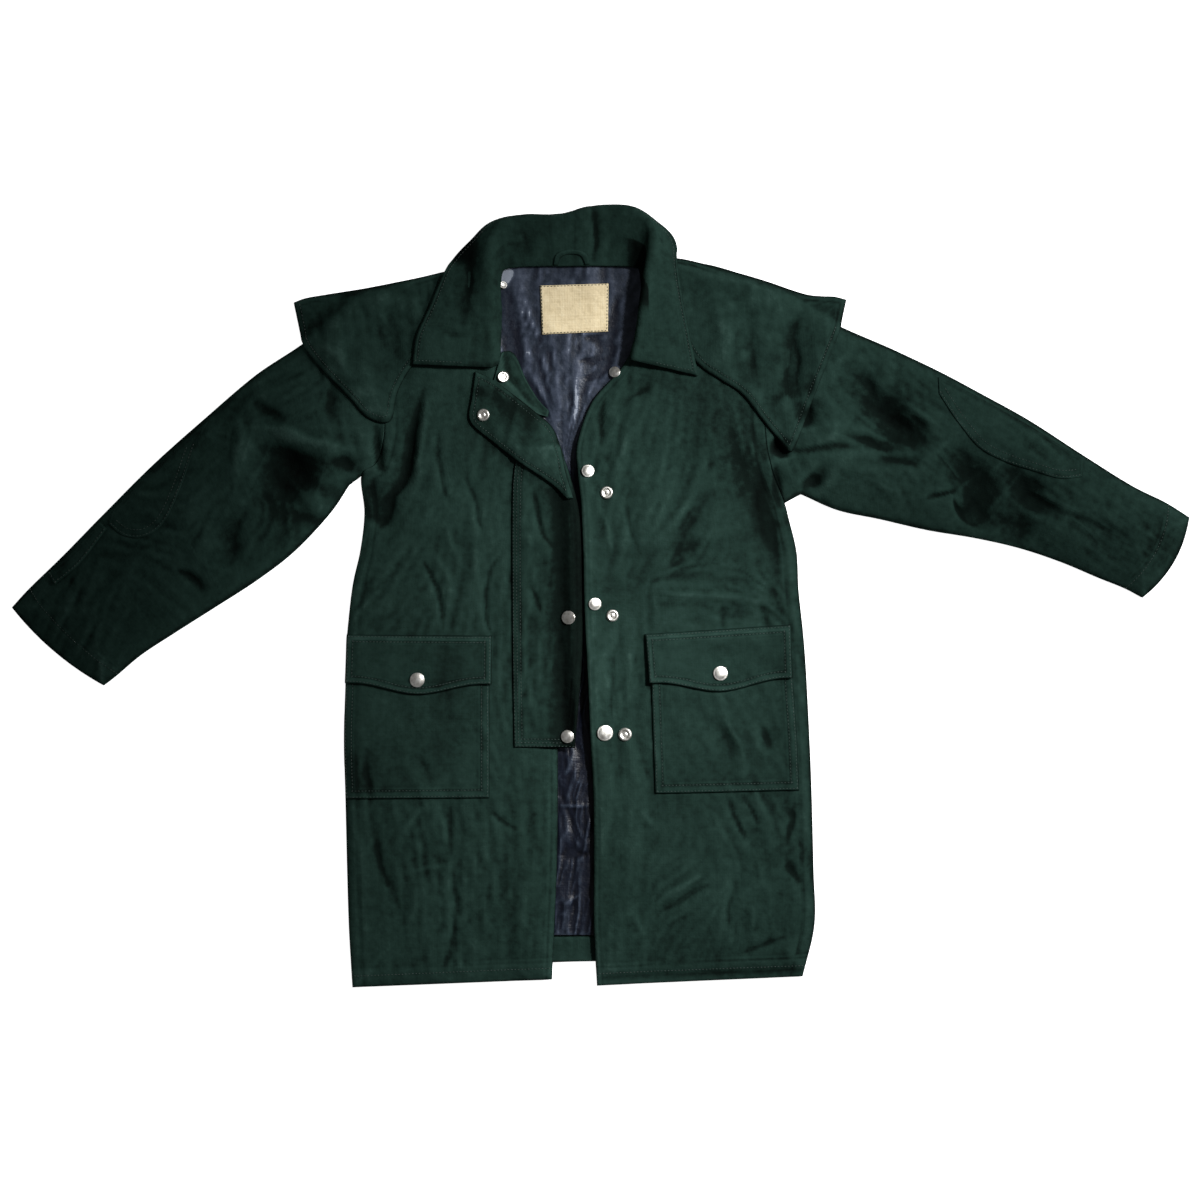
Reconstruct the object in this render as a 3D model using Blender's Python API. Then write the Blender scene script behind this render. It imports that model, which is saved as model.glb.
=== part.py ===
"""Duster coat with a shoulder cape, laid open on its back on a flat surface.

Plan positions are millimetres on a 1200 mm square laying-out table: x from its left edge and y down
from its far edge. Heights are millimetres above the table. Sides are the wearer's, so the wearer's
right lies at small x. The finished objects are in metres, with the origin on the table under the
middle of the coat.
"""
import math

import bmesh
import bpy
import numpy as np
from mathutils import Vector
from mathutils.bvhtree import BVHTree

# Driving sizes in millimetres

MM = 0.001
PLAN_MIDDLE_X = 600.61
PLAN_MIDDLE_Y = 597.44

CLOTH = 1.4
LINING = 1.0
DOUBLE_CLOTH = 2.0
COLLAR_CLOTH = 2.4
LABEL_CLOTH = 1.0
GAP = 0.3

BODY_LOFT = 6.5
LOFT_REACH = 26.0
FOLD_REACH = 13.0
STEP_REACH = 18.0
EDGE_BULGE = 1.1

FRONT_COLUMNS = 12
BACK_COLUMNS = 12
CAPE_ROWS = 8
SIDES_OF_A_SNAP = 14

# Tables of the cut pieces. Each row is one section across a piece, and steps is the number of
# strips from that row to the next one.

FRONT = [("side_x", float), ("side_y", float), ("edge_x", float), ("edge_y", float), ("steps", int)]

FRONT_RIGHT = np.array([
    (352, 988, 552, 980, 2),
    (348.5, 930, 554.5, 925, 3),
    (346.6, 869, 557, 865, 4),
    (345, 800, 558, 797, 3),
    (343.5, 740, 558, 745, 3),
    (345, 683, 558.5, 684, 2),
    (346, 650, 559, 652, 1),
    (346.5, 635, 559.5, 636, 3),
    (352, 586, 562, 590, 3),
    (360, 549.5, 564, 545, 2),
    (364, 512, 567, 505, 2),
    (361, 475, 567, 474, 2),
    (376, 463, 561, 447, 2),
    (385, 431, 548, 424, 2),
    (383, 392, 519, 397, 2),
    (380, 350, 500, 362, 2),
    (372, 292, 496, 262, 0),
], dtype=FRONT)

FRONT_LEFT = np.array([
    (803, 977, 597, 986, 2),
    (815, 925, 593.6, 925, 3),
    (814, 869, 593.6, 865, 4),
    (812, 790, 593, 793, 3),
    (810, 740, 590, 740, 3),
    (807, 680, 588, 690, 2),
    (805, 650, 586, 652, 1),
    (803, 627, 585, 636, 3),
    (799, 590, 583.5, 590, 3),
    (797, 552, 582.5, 545, 2),
    (789, 518, 580.5, 505, 2),
    (784.5, 502, 577.5, 474, 2),
    (772, 470, 577, 444, 2),
    (765, 434, 592, 402, 2),
    (764, 394, 622, 367, 2),
    (767, 345, 641, 326, 2),
    (772, 290, 646, 260, 0),
], dtype=FRONT)

POCKET_BOTTOM_ROW = 3
FLAP_BOTTOM_ROW = 5
POCKET_TOP_ROW = 6
FLAP_TOP_ROW = 7
ARMPIT_ROW = 11
POCKET_SPAN = {"right": (0.0, 0.68), "left": (0.075, 0.715)}

SLEEVE = [("over_x", float), ("over_y", float), ("under_x", float), ("under_y", float),
          ("bow", float), ("steps", int)]

SLEEVE_RIGHT = np.array([
    (340, 316, 349, 484, 9, 2),
    (301, 345.5, 329, 513, 0, 2),
    (255, 376, 293, 551, 0, 2),
    (204, 419.5, 255, 580, 0, 2),
    (153, 465, 213, 607, 0, 2),
    (102, 516, 172, 633, 0, 2),
    (62, 557, 140, 654, -2, 2),
    (30, 588, 115, 675, -4, 1),
    (11.5, 608, 102, 685, -6, 0),
], dtype=SLEEVE)

SLEEVE_LEFT = np.array([
    (808, 310, 801, 493, 6, 2),
    (844.6, 329, 838, 509, 0, 2),
    (889, 348, 880, 518, 0, 2),
    (940, 372, 928, 529, 0, 2),
    (985, 396, 976, 537, 0, 2),
    (1030, 421, 1020, 547, 0, 2),
    (1081, 454, 1062, 561, 0, 2),
    (1132, 486, 1100, 577, -4, 2),
    (1166, 503, 1125, 587, -7, 1),
    (1190, 518, 1144, 597, -9, 0),
], dtype=SLEEVE)

BAND = [("top_x", float), ("top_y", float), ("low_x", float), ("low_y", float), ("steps", int)]

CAPE_RIGHT = np.array([
    (492, 264, 487, 278, 2),
    (470, 267, 450, 322, 2),
    (450, 270, 413, 367, 1),
    (420, 277, 398, 394, 1),
    (395, 282, 391, 422, 2),
    (369, 287, 369, 419, 2),
    (347, 290.5, 351, 400, 2),
    (325, 294, 325, 373, 2),
    (305, 297.5, 307, 351, 1),
    (293, 302, 301, 340, 0),
], dtype=BAND)

CAPE_LEFT = np.array([
    (651, 258, 654, 275, 2),
    (668, 257, 672, 320, 2),
    (682, 258, 694, 361, 1),
    (700, 262, 718, 380, 2),
    (722, 268, 741, 395, 2),
    (745, 274, 760, 419, 1),
    (768, 281, 776, 438, 1),
    (791, 289, 790, 453, 1),
    (808, 294, 800, 433, 1),
    (822, 295.5, 812, 400, 1),
    (835, 296, 826, 365, 1),
    (847, 299, 840, 331, 0),
], dtype=BAND)

CAPE_BACK = np.array([
    (293, 302, 301, 340, 1),
    (325, 294, 325, 385, 2),
    (369, 287, 366, 432, 2),
    (420, 277, 425, 462, 2),
    (480, 268, 490, 478, 2),
    (540, 268, 550, 484, 2),
    (600, 268, 605, 486, 2),
    (645, 264, 660, 482, 2),
    (700, 262, 720, 472, 2),
    (759, 278.5, 770, 452, 1),
    (808, 294, 812, 405, 1),
    (847, 299, 840, 331, 0),
], dtype=BAND)

LINING_STRIP = np.array([
    (484, 268, 655, 267, 3),
    (484, 330, 655, 325, 3),
    (492, 384, 646, 372, 3),
    (530, 430, 614, 424, 2),
    (546, 474, 600, 470, 6),
    (547, 620, 606, 620, 7),
    (545, 780, 611, 780, 6),
    (543, 936, 612, 936, 0),
], dtype=BAND)

HEM_FACING = np.array([
    (542, 937.5, 613, 937.5, 1),
    (541, 962, 613, 962, 0),
], dtype=BAND)

STORM_FLAP = np.array([
    (517, 449, 561, 449, 2),
    (513, 480, 572, 482, 2),
    (512, 520, 579, 520, 3),
    (512, 590, 580.5, 590, 3),
    (512.5, 660, 581, 660, 4),
    (514, 747, 575, 747.5, 0),
], dtype=BAND)

LAPEL = np.array([
    (476, 372, 491, 379, 2),
    (472, 398, 512, 394, 2),
    (470, 422, 536, 413, 2),
    (493, 443, 552, 427, 2),
    (517, 462, 561, 448, 2),
    (552, 485, 566, 474, 2),
    (568, 500, 573.5, 499, 0),
], dtype=BAND)

NECK_CORNER = np.array([
    (493, 371, 491.6, 384, 1),
    (507, 372, 505, 391, 1),
    (521, 377, 518, 398, 1),
    (530, 391, 529, 404, 1),
    (541, 405, 540, 410, 0),
], dtype=BAND)

HANGER_LOOP = np.array([
    (553, 266, 558, 266, 1),
    (556, 256, 561, 259, 1),
    (566, 251.5, 567, 256, 1),
    (578, 251.5, 577, 256, 1),
    (587, 256, 582, 259, 1),
    (590, 265, 585, 266, 0),
], dtype=BAND)

LABEL = np.array([
    (540, 285.5, 542, 334.5, 3),
    (608.5, 283.5, 608, 331.5, 0),
], dtype=BAND)

ELBOW_PATCH_RIGHT = np.array([
    (209, 420, 196, 446, 1),
    (190, 436, 182, 490, 1),
    (170, 454, 167, 522, 1),
    (150, 473, 147, 537, 1),
    (130, 493, 126, 536, 1),
    (113, 510, 109, 524, 0),
], dtype=BAND)

ELBOW_PATCH_LEFT = np.array([
    (938, 377, 938, 394, 1),
    (955, 385, 955, 421, 1),
    (978, 397, 978, 448, 1),
    (1003, 411, 1003, 462, 1),
    (1030, 426, 1030, 471, 1),
    (1058, 444, 1058, 479, 1),
    (1083, 460, 1081, 477, 0),
], dtype=BAND)

CUFF_TAB = np.array([
    (101, 522, 108, 529, 1),
    (74, 551, 82, 563, 1),
    (48, 573, 56, 585, 0),
], dtype=BAND)

COLLAR = [("seam_x", float), ("seam_y", float), ("roll_x", float), ("roll_y", float),
          ("outer_x", float), ("outer_y", float), ("roll_z", float), ("steps", int)]

COLLAR_BAND = np.array([
    (499, 365, 490.5, 369, 413, 366, 22, 2),
    (499, 343, 491.5, 343, 417, 338, 25, 2),
    (499, 315, 492, 312, 431, 307, 26, 2),
    (499, 290, 491, 280, 444, 275, 27, 2),
    (500, 274, 489, 256, 461, 251, 27, 2),
    (508, 268, 498, 242, 483, 231, 25, 2),
    (526, 267, 518, 240, 506, 218.5, 20, 2),
    (556, 266, 556, 240, 559, 218, 17, 2),
    (590, 266, 592, 236, 596, 209.5, 18, 2),
    (620, 266, 626, 236, 634, 210, 20, 2),
    (637, 267, 646, 242, 655, 224, 25, 2),
    (644, 272, 650, 252, 676, 243, 28, 2),
    (645, 290, 646, 281, 677, 275, 28, 2),
    (643, 312, 642, 309, 682, 302, 27, 2),
    (639, 335, 638, 338, 689, 335, 25, 2),
    (632, 357, 631, 362, 698, 377, 22, 0),
], dtype=COLLAR)
LEAF_RISE = 2.5
COLLAR_STRIPS = 8
FIRST_LEAF_STRIP = 3
STEPS_PER_COLLAR_KNOT = 12
SEAM_ABOVE_PILE = 0.4
OUTER_EDGE_ABOVE_PILE = 0.6
LOWEST_OUTER_EDGE = 4.0
LEAF_ABOVE_PILE = 0.3

# How far round each point a laid piece looks for what it must clear.

CAPE_SPREAD = 11.0
COLLAR_SEAM_SPREAD = 5.0
COLLAR_EDGE_SPREAD = 9.0
COLLAR_LEAF_SPREAD = 8.0
LABEL_SPREAD = 5.0
LOOP_SPREAD = 1.5
CORNER_SPREAD = 5.0
PATCH_SPREAD = 9.0
LAPEL_SPREAD = 14.0
TAB_SPREAD = 3.0

CAPE_LOFT = 3.0
LAPEL_RISE = 0.5
LOOP_CLOTH = 1.2
BACK_NECK_RISE = 24.0
HEM_RISE = 20.0
EDGE_SLOPE = 0.12
EDGE_SLOPE_REACH = 6.0

# The coat's largest folds: a line with a sideways bend, half as wide as width, height above (ridge)
# or below (valley) the cloth round it.

FOLD = [("x0", float), ("y0", float), ("bend", float), ("x1", float), ("y1", float),
        ("width", float), ("height", float)]

BIG_FOLDS = np.array([
    (245, 437, 8, 322, 462, 15, -8),
    (370, 461, -6, 245, 428, 13, 7),
    (230, 420, -6, 232, 478, 11, 6),
    (255, 402, 0, 292, 424, 12, -5),
    (256, 512, 4, 231, 566, 12, -5),
    (290, 492, 0, 330, 500, 14, 5),
    (332, 379, 0, 329, 427, 14, -5),
    (179, 570, 0, 206, 592, 12, -4),
    (836, 357, 4, 928, 447, 14, -9),
    (846, 428, 0, 890, 447, 12, -6),
    (795, 455, -4, 958, 466, 11, 5),
    (1000, 464, 4, 1105, 532, 14, -9),
    (951, 446, 0, 970, 472, 12, -6),
    (972, 488, 4, 994, 514, 12, -6),
    (900, 400, 0, 940, 452, 12, 5),
    (1010, 500, 0, 1090, 550, 16, 4),
    (419, 420, -8, 380, 534, 13, -7),
    (424, 559, -8, 443, 629, 12, -5),
    (500, 557, 14, 496, 636, 13, -5),
    (448, 520, 0, 459, 568, 12, 4),
    (395, 590, 0, 365, 624, 14, 4),
    (416, 756, 0, 433, 785, 14, -4),
    (369, 752, 0, 367, 802, 13, -5),
    (369, 819, 6, 398, 902, 14, -4),
    (450, 800, 0, 400, 842, 15, 4),
    (452, 880, 0, 442, 972, 16, 4),
    (500, 700, 0, 498, 900, 20, 3),
    (739, 456, -10, 774, 582, 18, -8),
    (715, 491, 4, 671, 568, 16, -5),
    (660, 450, 0, 650, 560, 20, 4),
    (646, 588, 4, 749, 601, 13, 4),
    (703, 717, -6, 737, 772, 14, -5),
    (762, 727, 0, 770, 750, 13, -4),
    (728, 798, 0, 760, 840, 15, -4),
    (656, 902, 0, 704, 876, 15, 4),
    (732, 894, 0, 731, 932, 14, -4),
    (785, 938, 0, 744, 956, 14, -4),
    (630, 760, 0, 625, 940, 20, 3),
], dtype=FOLD)

CAPE_FOLDS = np.array([
    (797, 304, 8, 801, 432, 10, -5),
    (812, 372, 0, 809, 406, 9, -3),
    (775, 300, 0, 778, 400, 14, 3),
    (340, 312, 6, 352, 385, 15, 4),
    (400, 300, 0, 392, 400, 15, -3),
    (725, 300, 0, 735, 370, 16, 3),
], dtype=FOLD)

SNAP = [("name", "U24"), ("kind", "U8"), ("x", float), ("y", float), ("radius", float)]

SNAPS = np.array([
    ("snap_pocket_right", "cap", 418, 679.6, 7.3),
    ("snap_pocket_left", "cap", 720, 673, 7.3),
    ("snap_front_low_cap", "cap", 605, 732.5, 8.0),
    ("snap_front_mid_cap", "cap", 595, 604, 6.3),
    ("snap_front_top_cap", "cap", 588, 471.5, 6.4),
    ("snap_neck_cap", "cap", 614.5, 372, 5.6),
    ("snap_storm_mid_cap", "cap", 568.5, 617.5, 6.8),
    ("snap_storm_low_cap", "cap", 567.5, 736, 6.5),
    ("snap_front_low_ring", "ring", 625, 734, 6.8),
    ("snap_front_mid_ring", "ring", 612.5, 615.5, 6.2),
    ("snap_front_top_ring", "ring", 606.7, 493, 6.4),
    ("snap_lapel_ring", "ring", 484, 416, 6.3),
], dtype=SNAP)
NECK_RING = ("snap_corner_ring", 503.5, 377.5, 5.6)
NECK_STUD = ("snap_neck_stud", 503.5, 285.0, 3.6)
CAP_HEIGHT = 2.4
CAP_RIM_HEIGHT = 0.7
CAP_SHOULDER = (0.86, 0.8)
CAP_TOP_SHARE = 0.5
RING_HEIGHT = 2.0
RING_RIM_HEIGHT = 0.6
RING_CREST_SHARE = 0.82
RING_SHOULDER = (0.55, 0.85)
RING_HOLLOW = (0.42, 0.35)
SEAT_ABOVE_CLOTH = 0.35


def clear_scene():
    """Empty the scene, so that the script gives the same coat wherever it is run."""
    for item in list(bpy.data.objects):
        bpy.data.objects.remove(item, do_unlink=True)


def make_material(name, colour, roughness, metallic=0.0):
    """Principled material with a plain colour."""
    material = bpy.data.materials.new(name)
    material.use_nodes = True
    shader = material.node_tree.nodes["Principled BSDF"]
    shader.inputs["Base Color"].default_value = (*colour, 1.0)
    shader.inputs["Roughness"].default_value = roughness
    shader.inputs["Metallic"].default_value = metallic
    return material


def in_world(point):
    """Plan position and height in millimetres as a point in metres."""
    return Vector(((point[0] - PLAN_MIDDLE_X) * MM, (PLAN_MIDDLE_Y - point[1]) * MM, point[2] * MM))


# Curves through the tables

def through_rows(knots, steps):
    """Points on a smooth curve through the knots, with that many steps after each knot."""
    padded = np.vstack([2 * knots[0] - knots[1], knots, 2 * knots[-1] - knots[-2]])
    points = []
    for index, count in enumerate(steps[:-1]):
        before, start, end, after = padded[index:index + 4]
        for step in range(count):
            t = step / count
            bend = (2 * before - 5 * start + 4 * end - after) * t * t
            twist = (3 * start - 3 * end + after - before) * t ** 3
            points.append(0.5 * (2 * start + (end - before) * t + bend + twist))
    points.append(knots[-1])
    return np.array(points)


def columns_of(table, names):
    """The named columns of a table, side by side."""
    return np.stack([table[name] for name in names], axis=1).astype(float)


def between(first, second, fractions):
    """Grid of plan points on straight lines from each first point to its second point."""
    shares = np.asarray(fractions)[None, :, None]
    return first[:, None, :] * (1 - shares) + second[:, None, :] * shares


def bowed(grid, bows):
    """Rows of a grid bent sideways, by up to the bow, towards the middle of the coat."""
    fractions = np.linspace(0, 1, grid.shape[1])
    along = grid[:, -1] - grid[:, 0]
    across = np.stack([-along[:, 1], along[:, 0]], axis=1)
    across /= np.linalg.norm(across, axis=1)[:, None]
    towards = np.sign((PLAN_MIDDLE_X - grid[:, 0, 0]) * across[:, 0])
    arch = 4 * fractions * (1 - fractions)
    return grid + (across * (towards * bows)[:, None])[:, None, :] * arch[None, :, None]


def outline_of(grid):
    """Closed outline of a grid of plan points."""
    return np.vstack([grid[0], grid[1:, -1], grid[-1, -2::-1], grid[-2:0:-1, 0]])


def signed_distance(points, outline):
    """Distance from each point to the outline, negative inside it."""
    start = outline
    end = np.roll(outline, -1, axis=0)
    edge = end - start
    to_point = points[:, None, :] - start[None, :, :]
    length = np.maximum((edge ** 2).sum(axis=1), 1e-9)
    share = np.clip((to_point * edge).sum(axis=2) / length, 0, 1)
    nearest = to_point - share[:, :, None] * edge
    distance = np.sqrt((nearest ** 2).sum(axis=2).min(axis=1))
    spans = (start[None, :, 1] > points[:, None, 1]) != (end[None, :, 1] > points[:, None, 1])
    rise = np.where(np.abs(edge[:, 1]) < 1e-9, 1e-9, edge[:, 1])
    crossing = start[None, :, 0] + (points[:, None, 1] - start[None, :, 1]) * (edge[:, 0] / rise)
    inside = (spans & (points[:, None, 0] < crossing)).sum(axis=1) % 2 == 1
    return np.where(inside, -distance, distance)


def coverage(points, outline, reach):
    """1 inside an outline and out to the reach, falling smoothly to 0 one step further out."""
    share = np.clip((signed_distance(points, outline) - reach) / STEP_REACH, 0, 1)
    return 1 - share * share * (3 - 2 * share)


def fold_height(points, folds):
    """Sum of the soft ridges and valleys of a table of folds."""
    total = np.zeros(len(points))
    for fold in folds:
        start = np.array([fold["x0"], fold["y0"]])
        end = np.array([fold["x1"], fold["y1"]])
        along = end - start
        length = np.linalg.norm(along)
        along = along / length
        across = np.array([-along[1], along[0]])
        share = np.clip((points - start) @ along / length, 0, 1)
        middle = fold["bend"] * 4 * share * (1 - share)
        spine = start + share[:, None] * length * along + middle[:, None] * across
        distance = np.linalg.norm(points - spine, axis=1)
        taper = 0.4 + 0.6 * np.sin(math.pi * share)
        total += fold["height"] * taper * np.exp(-(distance / fold["width"]) ** 2)
    return total


# Plan grids of the pieces that share their points

def column_shares(side):
    """Shares across a front from its side to its opening edge, with the pocket's edges among them."""
    low, high = POCKET_SPAN[side]
    knots = sorted({0.0, low, high, 1.0})
    shares = [0.0]
    for start, end in zip(knots[:-1], knots[1:]):
        count = max(1, round((end - start) * FRONT_COLUMNS))
        shares.extend(start + (end - start) * (step + 1) / count for step in range(count))
    return np.array(shares)


def first_point_of_row(table, row):
    """Index, among the stepped rows, of a table's row."""
    return int(table["steps"][:row].sum())


def front_grid(table, side):
    """Plan grid of a front."""
    sides = through_rows(columns_of(table, ("side_x", "side_y")), table["steps"])
    edges = through_rows(columns_of(table, ("edge_x", "edge_y")), table["steps"])
    return between(sides, edges, column_shares(side))


def sleeve_grid(table, armhole):
    """Plan grid of a sleeve: first row on the armhole, moved out by a gap, last row at the cuff."""
    outward = np.sign(armhole[0, 0] - PLAN_MIDDLE_X)
    fractions = np.linspace(0, 1, len(armhole))
    over = through_rows(columns_of(table, ("over_x", "over_y")), table["steps"])
    under = through_rows(columns_of(table, ("under_x", "under_y")), table["steps"])
    bows = through_rows(columns_of(table, ("bow",)), table["steps"])[:, 0]
    rows = bowed(between(over, under, fractions), bows)
    first = armhole[::-1] + np.array([outward * GAP, 0.0])
    halfway = (first + rows[0]) / 2
    return np.vstack([first[None], halfway[None], rows])


def band_grid(table, strips):
    """Plan grid of a piece given as a band of sections from its top edge to its low edge."""
    top = through_rows(columns_of(table, ("top_x", "top_y")), table["steps"])
    low = through_rows(columns_of(table, ("low_x", "low_y")), table["steps"])
    return between(top, low, np.linspace(0, 1, strips + 1))


FRONT_GRIDS = {"right": front_grid(FRONT_RIGHT, "right"), "left": front_grid(FRONT_LEFT, "left")}
FRONT_TABLES = {"right": FRONT_RIGHT, "left": FRONT_LEFT}
ARMPIT = first_point_of_row(FRONT_RIGHT, ARMPIT_ROW)
SLEEVE_GRIDS = {"right": sleeve_grid(SLEEVE_RIGHT, FRONT_GRIDS["right"][ARMPIT:, 0]),
                "left": sleeve_grid(SLEEVE_LEFT, FRONT_GRIDS["left"][ARMPIT:, 0])}
CAPE_BACK_GRID = band_grid(CAPE_BACK, CAPE_ROWS)
LINING_GRID = band_grid(LINING_STRIP, 5)


def coat_outline():
    """Outline of the body and both sleeves, without the collar."""
    right, left = FRONT_GRIDS["right"], FRONT_GRIDS["left"]
    sleeve_right, sleeve_left = SLEEVE_GRIDS["right"], SLEEVE_GRIDS["left"]
    return np.vstack([
        right[:ARMPIT, 0], sleeve_right[:, -1], sleeve_right[-1, ::-1], sleeve_right[::-1, 0],
        left[-1, :1], sleeve_left[:, 0], sleeve_left[-1], sleeve_left[::-1, -1],
        left[ARMPIT - 1::-1, 0],
    ])


def opening_outline():
    """Outline of the opening between the two fronts, from the neck to below the hem."""
    right, left = FRONT_GRIDS["right"][:, -1], FRONT_GRIDS["left"][:, -1]
    below_hem = np.array([[597.0, 1020.0], [552.0, 1020.0]])
    return np.vstack([right, left[::-1], below_hem])


COAT_OUTLINE = coat_outline()
OPENING_OUTLINE = opening_outline()
CAPE_BACK_OUTLINE = outline_of(CAPE_BACK_GRID)
HEM_FACING_GRID = band_grid(HEM_FACING, 5)
LINING_OUTLINE = outline_of(np.vstack([LINING_GRID, HEM_FACING_GRID]))


# Heights

def over_back_cape(points, layer):
    """Rise of a layer where it passes over the back cape. Each layer starts its ramp further out."""
    return (CLOTH + GAP) * coverage(points, CAPE_BACK_OUTLINE, STEP_REACH * layer)


def back_height(points):
    """Underside of the back panel and of the sleeves' lower walls."""
    return over_back_cape(points, 1)


def lining_height(points):
    """Underside of the back lining."""
    return CLOTH + GAP + over_back_cape(points, 2)


def upper_height(points):
    """Underside of the coat's upper cloth: the fronts and the sleeves' upper walls."""
    inland = np.maximum(-signed_distance(points, COAT_OUTLINE), 0)
    from_opening = np.maximum(signed_distance(points, OPENING_OUTLINE), 0)
    from_edge = np.minimum(inland, from_opening)
    loft = BODY_LOFT * (1 - np.exp(-from_edge / LOFT_REACH))
    folds = fold_height(points, BIG_FOLDS) * (1 - np.exp(-from_edge / FOLD_REACH))
    floor = CLOTH + GAP + over_back_cape(points, 3)
    floor = floor + (LINING + GAP) * coverage(points, LINING_OUTLINE, STEP_REACH)
    lowest = EDGE_SLOPE * from_edge.clip(0, EDGE_SLOPE_REACH)
    return floor + np.maximum(loft + folds, lowest)


def on_grid(height, grid):
    """Heights over a grid of plan points."""
    return height(grid.reshape(-1, 2)).reshape(grid.shape[:2])


# Solids

laid_pieces = {}


def remember(item):
    """Keep a search tree of a finished piece, for what is laid on it later."""
    mesh = item.data
    corners = [vertex.co.copy() for vertex in mesh.vertices]
    faces = [tuple(face.vertices) for face in mesh.polygons]
    laid_pieces[item.name] = BVHTree.FromPolygons(corners, faces)


def make_object(name, corners, faces, material, smooth_angle=40.0):
    """Mesh object with its faces pointing out."""
    mesh = bpy.data.meshes.new(name)
    mesh.from_pydata([in_world(corner) for corner in corners], [], faces)
    work = bmesh.new()
    work.from_mesh(mesh)
    bmesh.ops.recalc_face_normals(work, faces=work.faces)
    work.to_mesh(mesh)
    work.free()
    mesh.shade_smooth()
    mesh.set_sharp_from_angle(angle=math.radians(smooth_angle))
    mesh.materials.append(material)
    item = bpy.data.objects.new(name, mesh)
    bpy.context.scene.collection.objects.link(item)
    remember(item)
    return item


def wall_between(name, lower, upper, material):
    """Closed wall between two grids of points that have the same rows and columns."""
    rows, columns = lower.shape[:2]
    corners = np.vstack([lower.reshape(-1, 3), upper.reshape(-1, 3)])
    top = rows * columns
    faces = []
    for row in range(rows - 1):
        for column in range(columns - 1):
            a = row * columns + column
            for half in ((a, a + 1, a + columns + 1), (a, a + columns + 1, a + columns)):
                faces.append(half)
                faces.append(tuple(top + corner for corner in reversed(half)))
    rim = [column for column in range(columns)]
    rim += [row * columns + columns - 1 for row in range(1, rows)]
    rim += [(rows - 1) * columns + column for column in range(columns - 2, -1, -1)]
    rim += [row * columns for row in range(rows - 2, 0, -1)]
    for here, there in zip(rim, rim[1:] + rim[:1]):
        faces.append((here, top + here, top + there, there))
    return make_object(name, corners, faces, material)


def laid_sheet(name, grid, heights, thickness, material):
    """Cloth wall whose underside is at the heights over a plan grid."""
    lower = np.dstack([grid, heights])
    upper = np.dstack([grid, heights + thickness])
    return wall_between(name, lower, upper, material)


def pile_height(x, y, names):
    """Height of the highest of the named pieces under a plan position, or 0 on the bare table."""
    start = in_world((x, y, 200.0))
    highest = 0.0
    for name in names:
        hit = laid_pieces[name].ray_cast(start, Vector((0, 0, -1)))[0]
        if hit is not None:
            highest = max(highest, hit.z / MM)
    return highest


def rest_heights(grid, names, spread):
    """Heights at which a sheet clears the named pieces, looking round each point by the spread."""
    turns = [turn * math.pi / 4 for turn in range(8)]
    offsets = [(0.0, 0.0)]
    offsets += [(spread * math.cos(turn), spread * math.sin(turn)) for turn in turns]
    offsets += [(spread / 2 * math.cos(turn), spread / 2 * math.sin(turn)) for turn in turns]
    heights = np.zeros(grid.shape[:2])
    for index in np.ndindex(*heights.shape):
        x, y = grid[index]
        heights[index] = max(pile_height(x + dx, y + dy, names) for dx, dy in offsets)
    return heights + GAP


# The pieces of the coat

def make_back(cloth):
    """Back panel: its sides are the fronts' own side points, so that the seams match."""
    rows = [first_point_of_row(FRONT_RIGHT, row) for row in range(ARMPIT_ROW)]
    rows += list(range(ARMPIT, len(FRONT_GRIDS["right"])))
    right = FRONT_GRIDS["right"][rows, 0]
    left = FRONT_GRIDS["left"][rows, 0]
    fractions = np.linspace(0, 1, BACK_COLUMNS + 1)
    grid = between(right, left, fractions)
    arch = 4 * fractions * (1 - fractions)
    rise = np.linspace(0, 1, len(rows) - ARMPIT_ROW) ** 2
    grid[ARMPIT_ROW:, :, 1] -= BACK_NECK_RISE * rise[:, None] * arch[None, :]
    grid[0, :, 1] -= HEM_RISE * arch
    return laid_sheet("back_panel", grid, on_grid(back_height, grid), CLOTH, cloth)


def make_front(side, cloth):
    """One front, from hem to shoulder."""
    grid = FRONT_GRIDS[side]
    return laid_sheet("front_" + side, grid, on_grid(upper_height, grid), CLOTH, cloth)


def make_pocket(side, cloth):
    """Patch pocket and its flap, made from the front's own points, moved out."""
    table, grid = FRONT_TABLES[side], FRONT_GRIDS[side]
    shares = column_shares(side)
    low, high = POCKET_SPAN[side]
    columns = [index for index, share in enumerate(shares) if low - 1e-6 <= share <= high + 1e-6]
    bottom, flap_low, bag_top, flap_top = [
        first_point_of_row(table, row)
        for row in (POCKET_BOTTOM_ROW, FLAP_BOTTOM_ROW, POCKET_TOP_ROW, FLAP_TOP_ROW)]
    outside = on_grid(upper_height, grid) + CLOTH
    span = slice(columns[0], columns[-1] + 1)
    bag_rows = slice(bottom, bag_top + 1)
    flap_rows = slice(flap_low, flap_top + 1)
    laid_sheet("pocket_" + side, grid[bag_rows, span], outside[bag_rows, span] + GAP, CLOTH, cloth)
    lift = np.full((flap_top - flap_low + 1, 1), 2 * GAP + CLOTH)
    lift[-1] = GAP
    laid_sheet("pocket_flap_" + side, grid[flap_rows, span], outside[flap_rows, span] + lift,
               DOUBLE_CLOTH, cloth)


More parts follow.
